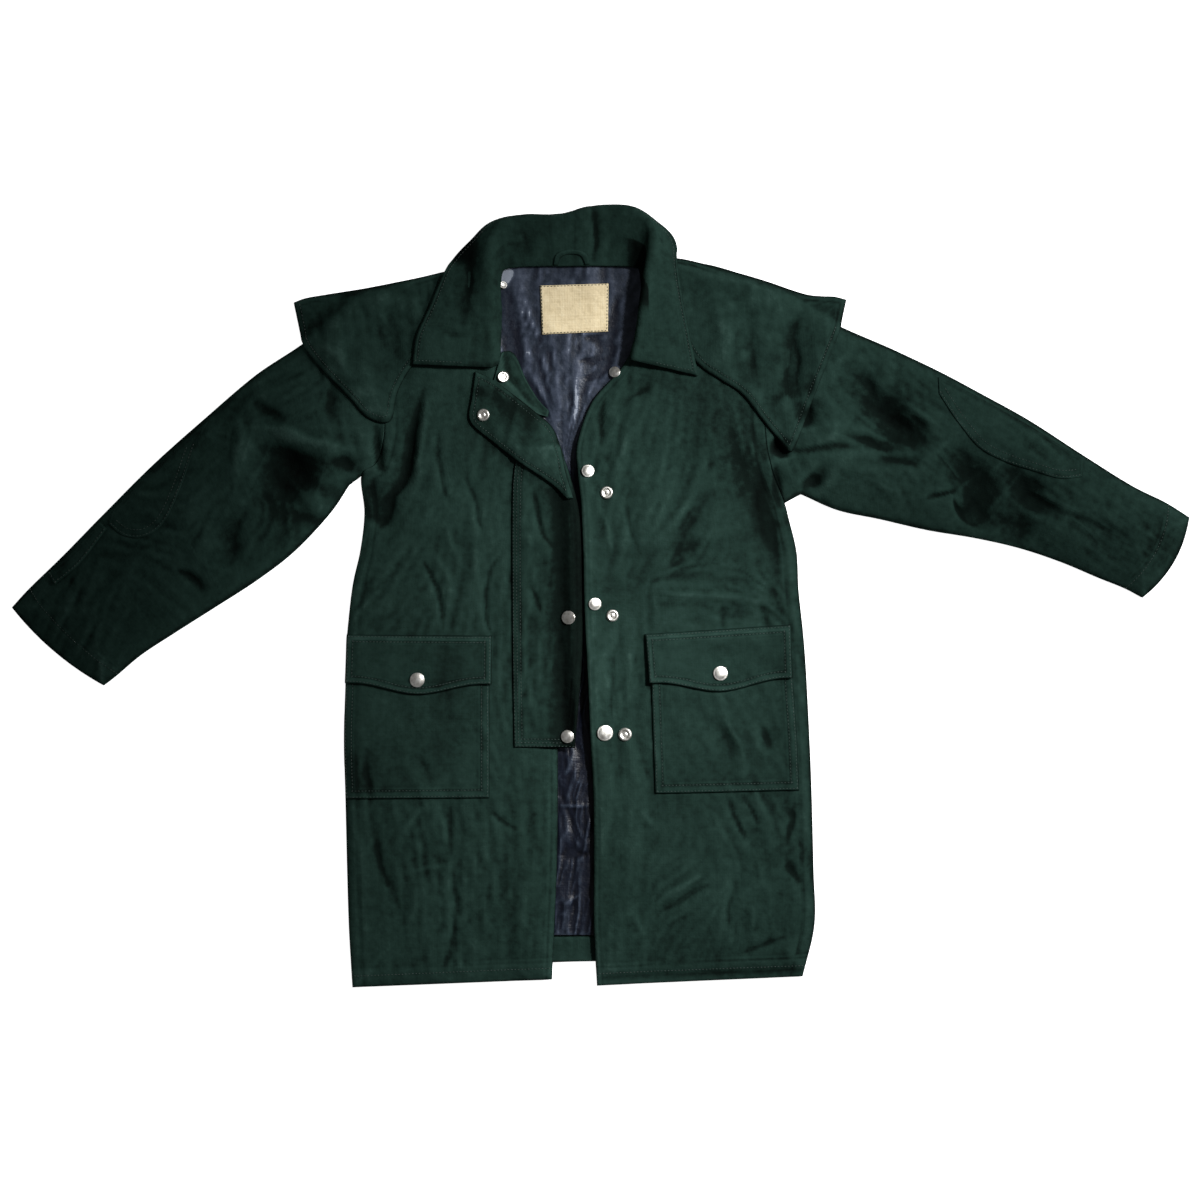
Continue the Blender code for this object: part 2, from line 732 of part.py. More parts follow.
def make_sleeve(side, cloth):
    """Sleeve as a flattened tube: rings of an outer and an inner loop, open at armhole and cuff."""
    grid = SLEEVE_GRIDS[side]
    stations, count = grid.shape[:2]
    width = np.linalg.norm(grid[:, -1] - grid[:, 0], axis=1)
    inset = CLOTH / width
    fractions = np.linspace(0, 1, count)
    inner_shares = inset[:, None] + fractions[None, :] * (1 - 2 * inset[:, None])
    position = inner_shares * (count - 1)
    lower_index = np.clip(position.astype(int), 0, count - 2)
    rest = (position - lower_index)[:, :, None]
    station = np.arange(stations)[:, None]
    inner = grid[station, lower_index] * (1 - rest) + grid[station, lower_index + 1] * rest
    outer_top = on_grid(upper_height, grid) + CLOTH
    outer_low = on_grid(back_height, grid)
    inner_top = on_grid(upper_height, inner)
    inner_low = on_grid(back_height, inner) + CLOTH
    inner_top = np.maximum(inner_top, inner_low + GAP)
    outer_top = np.maximum(outer_top, inner_top + CLOTH)
    outward = (grid[:, 0] - grid[:, -1]) / width[:, None]
    corners = []
    for index in range(stations):
        over_mid = [*(grid[index, 0] + outward[index] * EDGE_BULGE),
                    (outer_top[index, 0] + outer_low[index, 0]) / 2]
        under_mid = [*(grid[index, -1] - outward[index] * EDGE_BULGE),
                     (outer_top[index, -1] + outer_low[index, -1]) / 2]
        corners += [[*grid[index, k], outer_top[index, k]] for k in range(count)]
        corners.append(under_mid)
        corners += [[*grid[index, k], outer_low[index, k]] for k in range(count - 1, -1, -1)]
        corners.append(over_mid)
    outer_loop = 2 * count + 2
    inner_start = len(corners)
    for index in range(stations):
        corners += [[*inner[index, k], inner_top[index, k]] for k in range(count)]
        corners += [[*inner[index, k], inner_low[index, k]] for k in range(count - 1, -1, -1)]
    inner_loop = 2 * count
    faces = []
    for start, loop in ((0, outer_loop), (inner_start, inner_loop)):
        for index in range(stations - 1):
            for k in range(loop):
                a = start + index * loop + k
                b = start + index * loop + (k + 1) % loop
                faces.append((a, b, b + loop, a + loop))
    for index in (0, stations - 1):
        faces += sleeve_end(index * outer_loop, inner_start + index * inner_loop, count)
    return make_object("sleeve_" + side, corners, faces, cloth)


def sleeve_end(outer, inner, count):
    """Faces of an open end, between the outer loop, which has a middle point at each side, and the
    inner loop."""
    faces = []
    for k in range(count - 1):
        faces.append((outer + k, outer + k + 1, inner + k + 1, inner + k))
        low_outer = outer + count + 1 + k
        low_inner = inner + count + k
        faces.append((low_outer, low_outer + 1, low_inner + 1, low_inner))
    last = count - 1
    faces.append((outer + last, outer + last + 1, outer + last + 2, inner + last + 1, inner + last))
    over_mid = outer + 2 * count + 1
    faces.append((over_mid - 1, over_mid, outer, inner, inner + 2 * count - 1))
    return faces


def make_cape_fronts(cloth):
    """Front halves of the shoulder cape, laid on the fronts and the sleeves."""
    below = ["cape_back", "front_right", "front_left", "sleeve_right", "sleeve_left"]
    for name, table in (("cape_right", CAPE_RIGHT), ("cape_left", CAPE_LEFT)):
        grid = band_grid(table, CAPE_ROWS)
        rest = rest_heights(grid, below, CAPE_SPREAD)
        inland = np.maximum(-signed_distance(grid.reshape(-1, 2), outline_of(grid)), 0)
        folds = fold_height(grid.reshape(-1, 2), CAPE_FOLDS) * (1 - np.exp(-inland / FOLD_REACH))
        rise = CAPE_LOFT * (1 - np.exp(-inland / FOLD_REACH)) + folds
        laid_sheet(name, grid, rest + np.maximum(rise, 0).reshape(rest.shape), CLOTH, cloth)


def make_collar(cloth):
    """Collar: sections from the neck seam up to the roll and over to the outer edge."""
    steps = COLLAR_BAND["steps"]
    seam = through_rows(columns_of(COLLAR_BAND, ("seam_x", "seam_y")), steps)
    roll = through_rows(columns_of(COLLAR_BAND, ("roll_x", "roll_y", "roll_z")), steps)
    outer = through_rows(columns_of(COLLAR_BAND, ("outer_x", "outer_y")), steps)
    below = ["back_panel", "back_lining", "front_right", "front_left", "cape_right", "cape_left",
             "cape_back", "sleeve_right", "sleeve_left"]
    seam_rest = rest_heights(seam[:, None, :], below, COLLAR_SEAM_SPREAD)
    outer_rest = rest_heights(outer[:, None, :], below, COLLAR_EDGE_SPREAD)
    outer_heights = np.maximum(outer_rest + OUTER_EDGE_ABOVE_PILE, LOWEST_OUTER_EDGE)
    seam3 = np.hstack([seam, seam_rest + SEAM_ABOVE_PILE])
    outer3 = np.hstack([outer, outer_heights])
    middle = (roll + outer3) / 2
    middle[:, 2] += LEAF_RISE
    shares = np.linspace(0, 1, COLLAR_STRIPS + 1)
    grid = np.zeros((len(seam3), COLLAR_STRIPS + 1, 3))
    for index in range(len(seam3)):
        knots = np.array([seam3[index], roll[index], middle[index], outer3[index]])
        curve = through_rows(knots, (STEPS_PER_COLLAR_KNOT,) * (len(knots) - 1) + (0,))
        grid[index] = curve[np.round(shares * (len(curve) - 1)).astype(int)]
    leaf = grid[:, FIRST_LEAF_STRIP:, :]
    rest = rest_heights(leaf[:, :, :2], below, COLLAR_LEAF_SPREAD)
    grid[:, FIRST_LEAF_STRIP:, 2] = np.maximum(leaf[:, :, 2], rest + LEAF_ABOVE_PILE)
    along = np.gradient(grid, axis=0)
    across = np.gradient(grid, axis=1)
    normal = np.cross(across, along)
    normal /= np.linalg.norm(normal, axis=2)[:, :, None]
    if normal[:, -1, 2].mean() < 0:
        normal = -normal
    return wall_between("collar", grid, grid + COLLAR_CLOTH * normal, cloth)


def make_band_on(name, table, strips, below, thickness, material, spread, rise=0.0):
    """Piece given as a band of sections, resting on the named pieces."""
    grid = band_grid(table, strips)
    heights = rest_heights(grid, below, spread) + rise
    return laid_sheet(name, grid, heights, thickness, material)


def cap_profile(radius):
    """Half section of a press stud's cap: radius and height from its seat."""
    shoulder_width, shoulder_height = CAP_SHOULDER
    return [(radius, 0.0), (radius, CAP_RIM_HEIGHT),
            (radius * shoulder_width, CAP_HEIGHT * shoulder_height),
            (radius * CAP_TOP_SHARE, CAP_HEIGHT)]


def ring_profile(radius):
    """Half section of a ring stud, with a raised rim round a sunk middle."""
    shoulder_width, shoulder_height = RING_SHOULDER
    hollow_width, hollow_height = RING_HOLLOW
    return [(radius, 0.0), (radius, RING_RIM_HEIGHT), (radius * RING_CREST_SHARE, RING_HEIGHT),
            (radius * shoulder_width, RING_HEIGHT * shoulder_height),
            (radius * hollow_width, RING_HEIGHT * hollow_height)]


def make_snap(name, profile, x, y, below, material):
    """Turned stud, tilted to the cloth under it and seated just above it."""
    radius = profile[0][0]
    turns = [2 * math.pi * turn / SIDES_OF_A_SNAP for turn in range(SIDES_OF_A_SNAP)]
    rim = np.array([[x + radius * math.cos(turn), y + radius * math.sin(turn)] for turn in turns])
    heights = np.array([pile_height(px, py, below) for px, py in rim])
    slope = np.linalg.lstsq(np.column_stack([rim, np.ones(len(rim))]), heights, rcond=None)[0]
    seat = slope[0] * rim[:, 0] + slope[1] * rim[:, 1] + slope[2]
    centre_seat = slope[0] * x + slope[1] * y + slope[2]
    lift = max((heights - seat).max(), pile_height(x, y, below) - centre_seat) + SEAT_ABOVE_CLOTH
    corners = []
    for ring_radius, height in profile:
        for turn in turns:
            px, py = x + ring_radius * math.cos(turn), y + ring_radius * math.sin(turn)
            corners.append((px, py, slope[0] * px + slope[1] * py + slope[2] + lift + height))
    faces = [tuple(range(SIDES_OF_A_SNAP))]
    for level in range(len(profile) - 1):
        for k in range(SIDES_OF_A_SNAP):
            a = level * SIDES_OF_A_SNAP + k
            b = level * SIDES_OF_A_SNAP + (k + 1) % SIDES_OF_A_SNAP
            faces.append((a, b, b + SIDES_OF_A_SNAP, a + SIDES_OF_A_SNAP))
    last = (len(profile) - 1) * SIDES_OF_A_SNAP
    faces.append(tuple(range(last, last + SIDES_OF_A_SNAP)))
    return make_object(name, corners, faces, material)


def make_snaps(nickel):
    """All press studs."""
    carriers = ["front_right", "front_left", "pocket_right", "pocket_left", "pocket_flap_right",
                "pocket_flap_left", "storm_flap", "lapel", "back_lining"]
    profiles = {"cap": cap_profile, "ring": ring_profile}
    for snap in SNAPS:
        profile = profiles[str(snap["kind"])](float(snap["radius"]))
        make_snap(str(snap["name"]), profile, float(snap["x"]), float(snap["y"]), carriers, nickel)
    name, x, y, radius = NECK_RING
    make_snap(name, ring_profile(radius), x, y, ["neck_corner"], nickel)
    name, x, y, radius = NECK_STUD
    make_snap(name, cap_profile(radius), x, y, ["back_lining"], nickel)


def main():
    clear_scene()
    cloth = make_material("bottle_green_waxed_cotton", (0.014, 0.035, 0.028), 0.55)
    cape_cloth = make_material("bottle_green_cape", (0.015, 0.038, 0.031), 0.55)
    inner = make_material("blue_grey_lining", (0.06, 0.07, 0.11), 0.6)
    cream = make_material("cream_woven_label", (0.72, 0.60, 0.36), 0.8)
    nickel = make_material("nickel_stud", (0.65, 0.63, 0.56), 0.25, 1.0)

    cape_heights = np.zeros(CAPE_BACK_GRID.shape[:2])
    laid_sheet("cape_back", CAPE_BACK_GRID, cape_heights, CLOTH, cape_cloth)
    make_back(cloth)
    laid_sheet("back_lining", LINING_GRID, on_grid(lining_height, LINING_GRID), LINING, inner)
    laid_sheet("hem_facing", HEM_FACING_GRID, on_grid(lining_height, HEM_FACING_GRID), LINING, cloth)
    make_band_on("label", LABEL, 3, ["back_lining"], LABEL_CLOTH, cream, LABEL_SPREAD)
    for side in ("right", "left"):
        make_front(side, cloth)
        make_sleeve(side, cloth)
        make_pocket(side, cloth)
    make_cape_fronts(cape_cloth)
    make_collar(cloth)
    make_band_on("hanger_loop", HANGER_LOOP, 1, ["collar", "back_lining"], LOOP_CLOTH, cloth,
                 LOOP_SPREAD)
    make_band_on("neck_corner", NECK_CORNER, 2, ["back_lining", "front_right"], CLOTH, cloth,
                 CORNER_SPREAD)
    make_band_on("storm_flap", STORM_FLAP, 4, ["front_right", "back_lining"], DOUBLE_CLOTH, cloth,
                 PATCH_SPREAD)
    lapel_rests_on = ["front_right", "storm_flap", "neck_corner", "cape_right", "back_lining"]
    make_band_on("lapel", LAPEL, 4, lapel_rests_on, DOUBLE_CLOTH, cloth, LAPEL_SPREAD, LAPEL_RISE)
    make_band_on("elbow_patch_right", ELBOW_PATCH_RIGHT, 4, ["sleeve_right"], CLOTH, cloth,
                 PATCH_SPREAD)
    make_band_on("elbow_patch_left", ELBOW_PATCH_LEFT, 4, ["sleeve_left"], CLOTH, cloth,
                 PATCH_SPREAD)
    make_band_on("cuff_tab", CUFF_TAB, 2, ["sleeve_right"], DOUBLE_CLOTH, cloth, TAB_SPREAD)
    make_snaps(nickel)


main()
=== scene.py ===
# %% [markdown]
# # A waxed duster coat, laid open on its back
# The fixed model gives every cut piece of the coat as a plain wall of cloth. This lesson makes the
# cloth that is seen: fine panels with their folds and crumples, stitched edges, press studs, a
# crinkled lining, and the light of a product photograph taken from straight above.

# %% Load the frame
import math

import bmesh
import bpy
import numpy as np
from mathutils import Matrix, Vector
from mathutils.bvhtree import BVHTree


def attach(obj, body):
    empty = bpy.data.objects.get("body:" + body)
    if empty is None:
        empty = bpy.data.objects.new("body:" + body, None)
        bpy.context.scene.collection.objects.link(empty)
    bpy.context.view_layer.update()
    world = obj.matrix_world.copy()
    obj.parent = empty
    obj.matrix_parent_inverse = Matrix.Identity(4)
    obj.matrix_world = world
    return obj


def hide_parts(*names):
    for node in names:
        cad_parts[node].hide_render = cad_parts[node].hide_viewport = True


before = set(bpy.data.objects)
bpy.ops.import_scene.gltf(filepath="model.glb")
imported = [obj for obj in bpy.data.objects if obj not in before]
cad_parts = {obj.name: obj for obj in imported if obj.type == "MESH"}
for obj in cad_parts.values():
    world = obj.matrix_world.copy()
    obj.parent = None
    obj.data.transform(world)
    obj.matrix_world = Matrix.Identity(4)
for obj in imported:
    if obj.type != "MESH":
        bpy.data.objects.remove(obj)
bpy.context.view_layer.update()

# %% [markdown]
# ## The laying-out table
# All plan positions are millimetres on a 1200 mm square table, x from its left edge and y down from
# its far edge, because that is how the coat is seen. Heights are millimetres above the table. Sides
# are the wearer's, so the wearer's right lies at small x.

# %% Sizes
MM = 0.001
PLAN_MIDDLE_X = 600.61
PLAN_MIDDLE_Y = 597.44
CLOTH = 1.4
LINING = 1.0
DOUBLE_CLOTH = 2.0
COLLAR_CLOTH = 2.4
GAP = 0.3
CELL = 2.2
FINE_CELL = 1.8
RIM = 1.1
BODY_LOFT = 9.0
LOFT_REACH = 58.0
SLEEVE_LOFT = 6.0
SLEEVE_REACH = 30.0
ARMHOLES_MIDDLE = 580.0
OPENING_LIFT = 30.0
FOLD_REACH = 7.0
STEP_REACH = 18.0
LOOK_FROM = 0.2


def to_world(points):
    """Plan positions with heights, in millimetres, as points in metres."""
    points = np.asarray(points, float)
    return np.stack([(points[..., 0] - PLAN_MIDDLE_X) * MM, (PLAN_MIDDLE_Y - points[..., 1]) * MM,
                     points[..., 2] * MM], axis=-1)


def through_rows(knots, steps):
    """Points on a smooth curve through the knots, with that many steps after each knot."""
    knots = np.asarray(knots, float)
    padded = np.vstack([2 * knots[0] - knots[1], knots, 2 * knots[-1] - knots[-2]])
    points = []
    for index in range(len(knots) - 1):
        before, start, end, after = padded[index:index + 4]
        for step in range(steps):
            t = step / steps
            bend = (2 * before - 5 * start + 4 * end - after) * t * t
            twist = (3 * start - 3 * end + after - before) * t ** 3
            points.append(0.5 * (2 * start + (end - before) * t + bend + twist))
    points.append(knots[-1])
    return np.array(points)


def paces(line):
    """Distance along a line from its first point to each of its points."""
    return np.concatenate([[0], np.cumsum(np.linalg.norm(np.diff(line, axis=0), axis=1))])


def resampled(line, shares):
    """Points at the given shares of a line's length."""
    pace = paces(line)
    at = np.asarray(shares) * pace[-1]
    return np.stack([np.interp(at, pace, line[:, k]) for k in range(line.shape[1])], axis=1)


def line_length(line):
    return float(paces(line)[-1])


def spaced(length, cell):
    """Shares from 0 to 1 in even cells, with one narrow cell at each end for a rounded edge."""
    count = max(2, round((length - 2 * RIM) / cell))
    return np.concatenate([[0.0], np.linspace(RIM / length, 1 - RIM / length, count + 1), [1.0]])


def between(first, second, shares):
    """Grid of points on straight lines from each first point to its second point."""
    shares = np.asarray(shares)[None, :, None]
    return first[:, None, :] * (1 - shares) + second[:, None, :] * shares


def fine_grid(first, second, cell=CELL):
    """Plan grid between two side lines: rows run from the first line to the second."""
    rows = spaced((line_length(first) + line_length(second)) / 2, cell)
    a, b = resampled(first, rows), resampled(second, rows)
    return between(a, b, spaced(np.linalg.norm(b - a, axis=1).mean(), cell))


def columns_of(table, names):
    return np.stack([table[name] for name in names], axis=1).astype(float)


def outline_of(grid):
    return np.vstack([grid[0], grid[1:, -1], grid[-1, -2::-1], grid[-2:0:-1, 0]])


POINTS_AT_ONCE = 4000


def distance_to(points, line, closed=False):
    """Distance from each point to a line of points, worked out for some points at a time."""
    start = line if closed else line[:-1]
    end = np.roll(line, -1, axis=0) if closed else line[1:]
    edge = end - start
    length = np.maximum((edge ** 2).sum(axis=1), 1e-9)
    nearest = np.full(len(points), np.inf)
    for first in range(0, len(points), POINTS_AT_ONCE):
        part = points[first:first + POINTS_AT_ONCE]
        to_point = part[:, None, :] - start[None]
        share = np.clip((to_point * edge).sum(axis=2) / length, 0, 1)
        away = to_point - share[:, :, None] * edge
        nearest[first:first + POINTS_AT_ONCE] = np.sqrt((away ** 2).sum(axis=2).min(axis=1))
    return nearest


def signed_distance(points, outline):
    """Distance from each point to a closed outline, negative inside it."""
    end = np.roll(outline, -1, axis=0)
    rise = np.where(np.abs(end[:, 1] - outline[:, 1]) < 1e-9, 1e-9, end[:, 1] - outline[:, 1])
    inside = np.zeros(len(points), bool)
    for (x0, y0), (x1, y1), dy in zip(outline, end, rise):
        spans = (y0 > points[:, 1]) != (y1 > points[:, 1])
        inside ^= spans & (points[:, 0] < x0 + (points[:, 1] - y0) * (x1 - x0) / dy)
    distance = distance_to(points, outline, closed=True)
    return np.where(inside, -distance, distance)


def smooth_step(values):
    share = np.clip(values, 0, 1)
    return share * share * (3 - 2 * share)


def over_grid(height, grid):
    """Values of a height function over a plan grid."""
    return height(grid.reshape(-1, 2)).reshape(grid.shape[:2])


print("plan helpers ready")

# %% [markdown]
# ## The cut
# Each piece is a short table of sections across it. The rows are the places where the paper pattern
# would be measured; smooth curves run through them.

# %% Tables of the panels
SIDES = [("side_x", float), ("side_y", float), ("edge_x", float), ("edge_y", float)]

FRONT_RIGHT = np.array([
    (352, 988, 552, 980), (348.5, 930, 554.5, 925), (346.6, 869, 557, 865), (345, 800, 558, 797),
    (343.5, 740, 558, 745), (345, 683, 558.5, 684), (346, 650, 559, 652), (346.5, 635, 559.5, 636),
    (352, 586, 562, 590), (360, 549.5, 564, 545), (364, 512, 567, 505), (361, 475, 567, 474),
    (376, 463, 561, 447), (385, 431, 548, 424), (383, 392, 519, 397), (380, 350, 500, 362),
    (372, 292, 496, 262),
], dtype=SIDES)

FRONT_LEFT = np.array([
    (803, 977, 597, 986), (815, 925, 593.6, 925), (814, 869, 593.6, 865), (812, 790, 593, 793),
    (810, 740, 590, 740), (807, 680, 588, 690), (805, 650, 586, 652), (803, 627, 585, 636),
    (799, 590, 583.5, 590), (797, 552, 582.5, 545), (789, 518, 580.5, 505), (784.5, 502, 577.5, 474),
    (772, 470, 577, 444), (765, 434, 592, 402), (764, 394, 622, 367), (767, 345, 641, 326),
    (772, 290, 646, 260),
], dtype=SIDES)
ARMPIT_ROW = 11

SLEEVE = [("over_x", float), ("over_y", float), ("under_x", float), ("under_y", float),
          ("bow", float)]

SLEEVE_RIGHT = np.array([
    (340, 316, 349, 484, 9), (301, 345.5, 329, 513, 0), (255, 376, 293, 551, 0),
    (204, 419.5, 255, 580, 0), (153, 465, 213, 607, 0), (102, 516, 172, 633, 0),
    (62, 557, 140, 654, -2), (30, 588, 115, 675, -4), (11.5, 608, 102, 685, -6),
], dtype=SLEEVE)

SLEEVE_LEFT = np.array([
    (808, 310, 801, 493, 6), (844.6, 329, 838, 509, 0), (889, 348, 880, 518, 0),
    (940, 372, 928, 529, 0), (985, 396, 976, 537, 0), (1030, 421, 1020, 547, 0),
    (1081, 454, 1062, 561, 0), (1132, 486, 1100, 577, -4), (1166, 503, 1125, 587, -7),
    (1190, 518, 1144, 597, -9),
], dtype=SLEEVE)

BAND = [("top_x", float), ("top_y", float), ("low_x", float), ("low_y", float)]

CAPE_RIGHT = np.array([
    (492, 264, 487, 278), (470, 267, 450, 322), (450, 270, 413, 367), (420, 277, 398, 394),
    (395, 282, 391, 422), (369, 287, 369, 419), (347, 290.5, 351, 400), (325, 294, 325, 373),
    (305, 297.5, 307, 351), (293, 302, 301, 340),
], dtype=BAND)

CAPE_LEFT = np.array([
    (651, 258, 654, 275), (668, 257, 672, 320), (682, 258, 694, 361), (700, 262, 718, 380),
    (722, 268, 741, 395), (745, 274, 760, 419), (768, 281, 776, 438), (791, 289, 790, 453),
    (808, 294, 800, 433), (822, 295.5, 812, 400), (835, 296, 826, 365), (847, 299, 840, 331),
], dtype=BAND)

CAPE_BACK = np.array([
    (293, 302, 301, 340), (325, 294, 325, 385), (369, 287, 366, 432), (420, 277, 425, 462),
    (480, 268, 490, 478), (540, 268, 550, 484), (600, 268, 605, 486), (645, 264, 660, 482),
    (700, 262, 720, 472), (759, 278.5, 770, 452), (808, 294, 812, 405), (847, 299, 840, 331),
], dtype=BAND)

LINING_STRIP = np.array([
    (484, 261, 655, 260), (484, 330, 655, 325), (492, 384, 646, 372), (530, 430, 614, 424),
    (546, 474, 600, 470), (547, 620, 606, 620), (545, 780, 611, 780), (543, 936, 612, 936),
], dtype=BAND)

HEM_FACING = np.array([(542, 937.5, 613, 937.5), (541, 962, 613, 962)], dtype=BAND)

STORM_FLAP = np.array([
    (517, 449, 561, 449), (513, 480, 572, 482), (512, 520, 580, 520), (512, 590, 582, 590),
    (512.5, 660, 582, 660), (514, 747, 575, 747.5),
], dtype=BAND)

LAPEL = np.array([
    (476, 372, 491, 379), (472, 398, 512, 394), (470, 422, 536, 413), (493, 443, 552, 427),
    (517, 462, 561, 448), (552, 485, 566, 474), (568, 500, 573.5, 499),
], dtype=BAND)

NECK_CORNER = np.array([
    (502, 352, 492, 387), (510, 351, 502, 394), (517, 358, 512, 401), (526, 379, 524, 408),
    (538, 399, 536, 414), (549, 411, 548, 417),
], dtype=BAND)

HANGER_LOOP = np.array([
    (553, 266, 558, 266), (556, 256, 561, 259), (566, 251.5, 567, 256), (578, 251.5, 577, 256),
    (587, 256, 582, 259), (590, 265, 585, 266),
], dtype=BAND)

LABEL = np.array([(540, 285.5, 542, 334.5), (608.5, 283.5, 608, 331.5)], dtype=BAND)

POCKET_BAGS = {
    "right": np.array([(346, 639, 491, 640), (345, 683, 490, 683), (343.5, 740, 490, 743),
                       (345, 799, 490, 797)], dtype=BAND),
    "left": np.array([(649, 639, 790.5, 629.5), (651, 683, 793, 680), (653, 740, 797, 740),
                      (655, 793, 799, 790)], dtype=BAND),
}
POCKET_FLAPS = {
    "right": np.array([(346.5, 634.5, 492.5, 635.5), (345, 683, 492, 684)], dtype=BAND),
    "left": np.array([(644.5, 634, 790.6, 624.5), (648.5, 683, 792, 678)], dtype=BAND),
}
FLAP_DIP = 11.0

ELBOW_PATCH_RIGHT = np.array([
    (209, 420, 196, 446), (190, 436, 182, 490), (170, 454, 167, 522), (150, 473, 147, 537),
    (130, 493, 126, 536), (113, 510, 109, 524),
], dtype=BAND)

ELBOW_PATCH_LEFT = np.array([
    (938, 377, 938, 394), (955, 385, 955, 421), (978, 397, 978, 448), (1003, 411, 1003, 462),
    (1030, 426, 1030, 471), (1058, 444, 1058, 479), (1083, 460, 1081, 477),
], dtype=BAND)

CUFF_TAB = np.array([(101, 522, 108, 529), (74, 551, 82, 563), (48, 573, 56, 585)], dtype=BAND)

COLLAR = [("seam_x", float), ("seam_y", float), ("roll_x", float), ("roll_y", float),
          ("outer_x", float), ("outer_y", float), ("roll_z", float)]

COLLAR_BAND = np.array([
    (499, 365, 491, 369, 413, 366, 20), (499, 343, 492, 343, 417, 338, 23),
    (499, 315, 492, 312, 431, 307, 25), (498, 290, 490, 285, 444, 275, 26),
    (499, 275, 489, 262, 455, 258, 27), (503, 269, 492, 243, 472, 241, 26),
    (514, 267, 502, 226, 492, 223.5, 25), (535, 266, 527, 221, 525, 216.5, 23),
    (562, 266, 560, 221, 559, 216.5, 22), (592, 266, 596, 212, 596, 207.5, 23),
    (618, 266, 630, 213, 632, 208.5, 24), (634, 267, 648, 227, 656, 223, 26),
    (642, 271, 651, 246, 674, 241, 28), (645, 290, 647, 277, 677, 270, 28),
    (643, 312, 643, 305, 682, 300, 27), (639, 335, 639, 335, 689, 335, 25),
    (632, 357, 632, 362, 698, 377, 22),
], dtype=COLLAR)
LEAF_RISE = 0.5

SNAP = [("name", "U24"), ("kind", "U8"), ("x", float), ("y", float), ("radius", float)]
SNAPS = np.array([
    ("snap_pocket_right", "cap", 418, 679.6, 7.3), ("snap_pocket_left", "cap", 720, 673, 7.3),
    ("snap_front_low_cap", "cap", 605, 732.5, 8.0), ("snap_front_mid_cap", "cap", 595, 604, 6.3),
    ("snap_front_top_cap", "cap", 588, 471.5, 6.4), ("snap_neck_cap", "cap", 614.5, 372, 5.6),
    ("snap_storm_mid_cap", "cap", 568.5, 617.5, 6.8), ("snap_storm_low_cap", "cap", 567.5, 736, 6.5),
    ("snap_front_low_ring", "ring", 625, 734, 6.8), ("snap_front_mid_ring", "ring", 612.5, 615.5, 6.2),
    ("snap_front_top_ring", "ring", 606.7, 493, 6.4), ("snap_lapel_ring", "ring", 484, 416, 6.3),
    ("snap_corner_ring", "ring", 503.5, 377.5, 5.8), ("snap_neck_stud", "cap", 503.5, 285, 3.6),
], dtype=SNAP)
print("tables:", len(SNAPS), "studs")

# %% [markdown]
# ## Folds and crumples
# Waxed cotton keeps every fold it was packed with. The main ones are listed one row each:
# a line with a sideways bend, its half width, its height (below zero for a valley), and lean, which
# lets one flank run out further than the other. Between them run lines of strain: a seeded noise
# that is smeared along the pull of the cloth. A second table paints shade into the cloth's colour
# in broad soft hollows and shaded places, and paints highlights on two lit ridges.

# %% The table of folds
FOLD = [("x0", float), ("y0", float), ("bend", float), ("x1", float), ("y1", float),
        ("width", float), ("height", float), ("lean", float)]

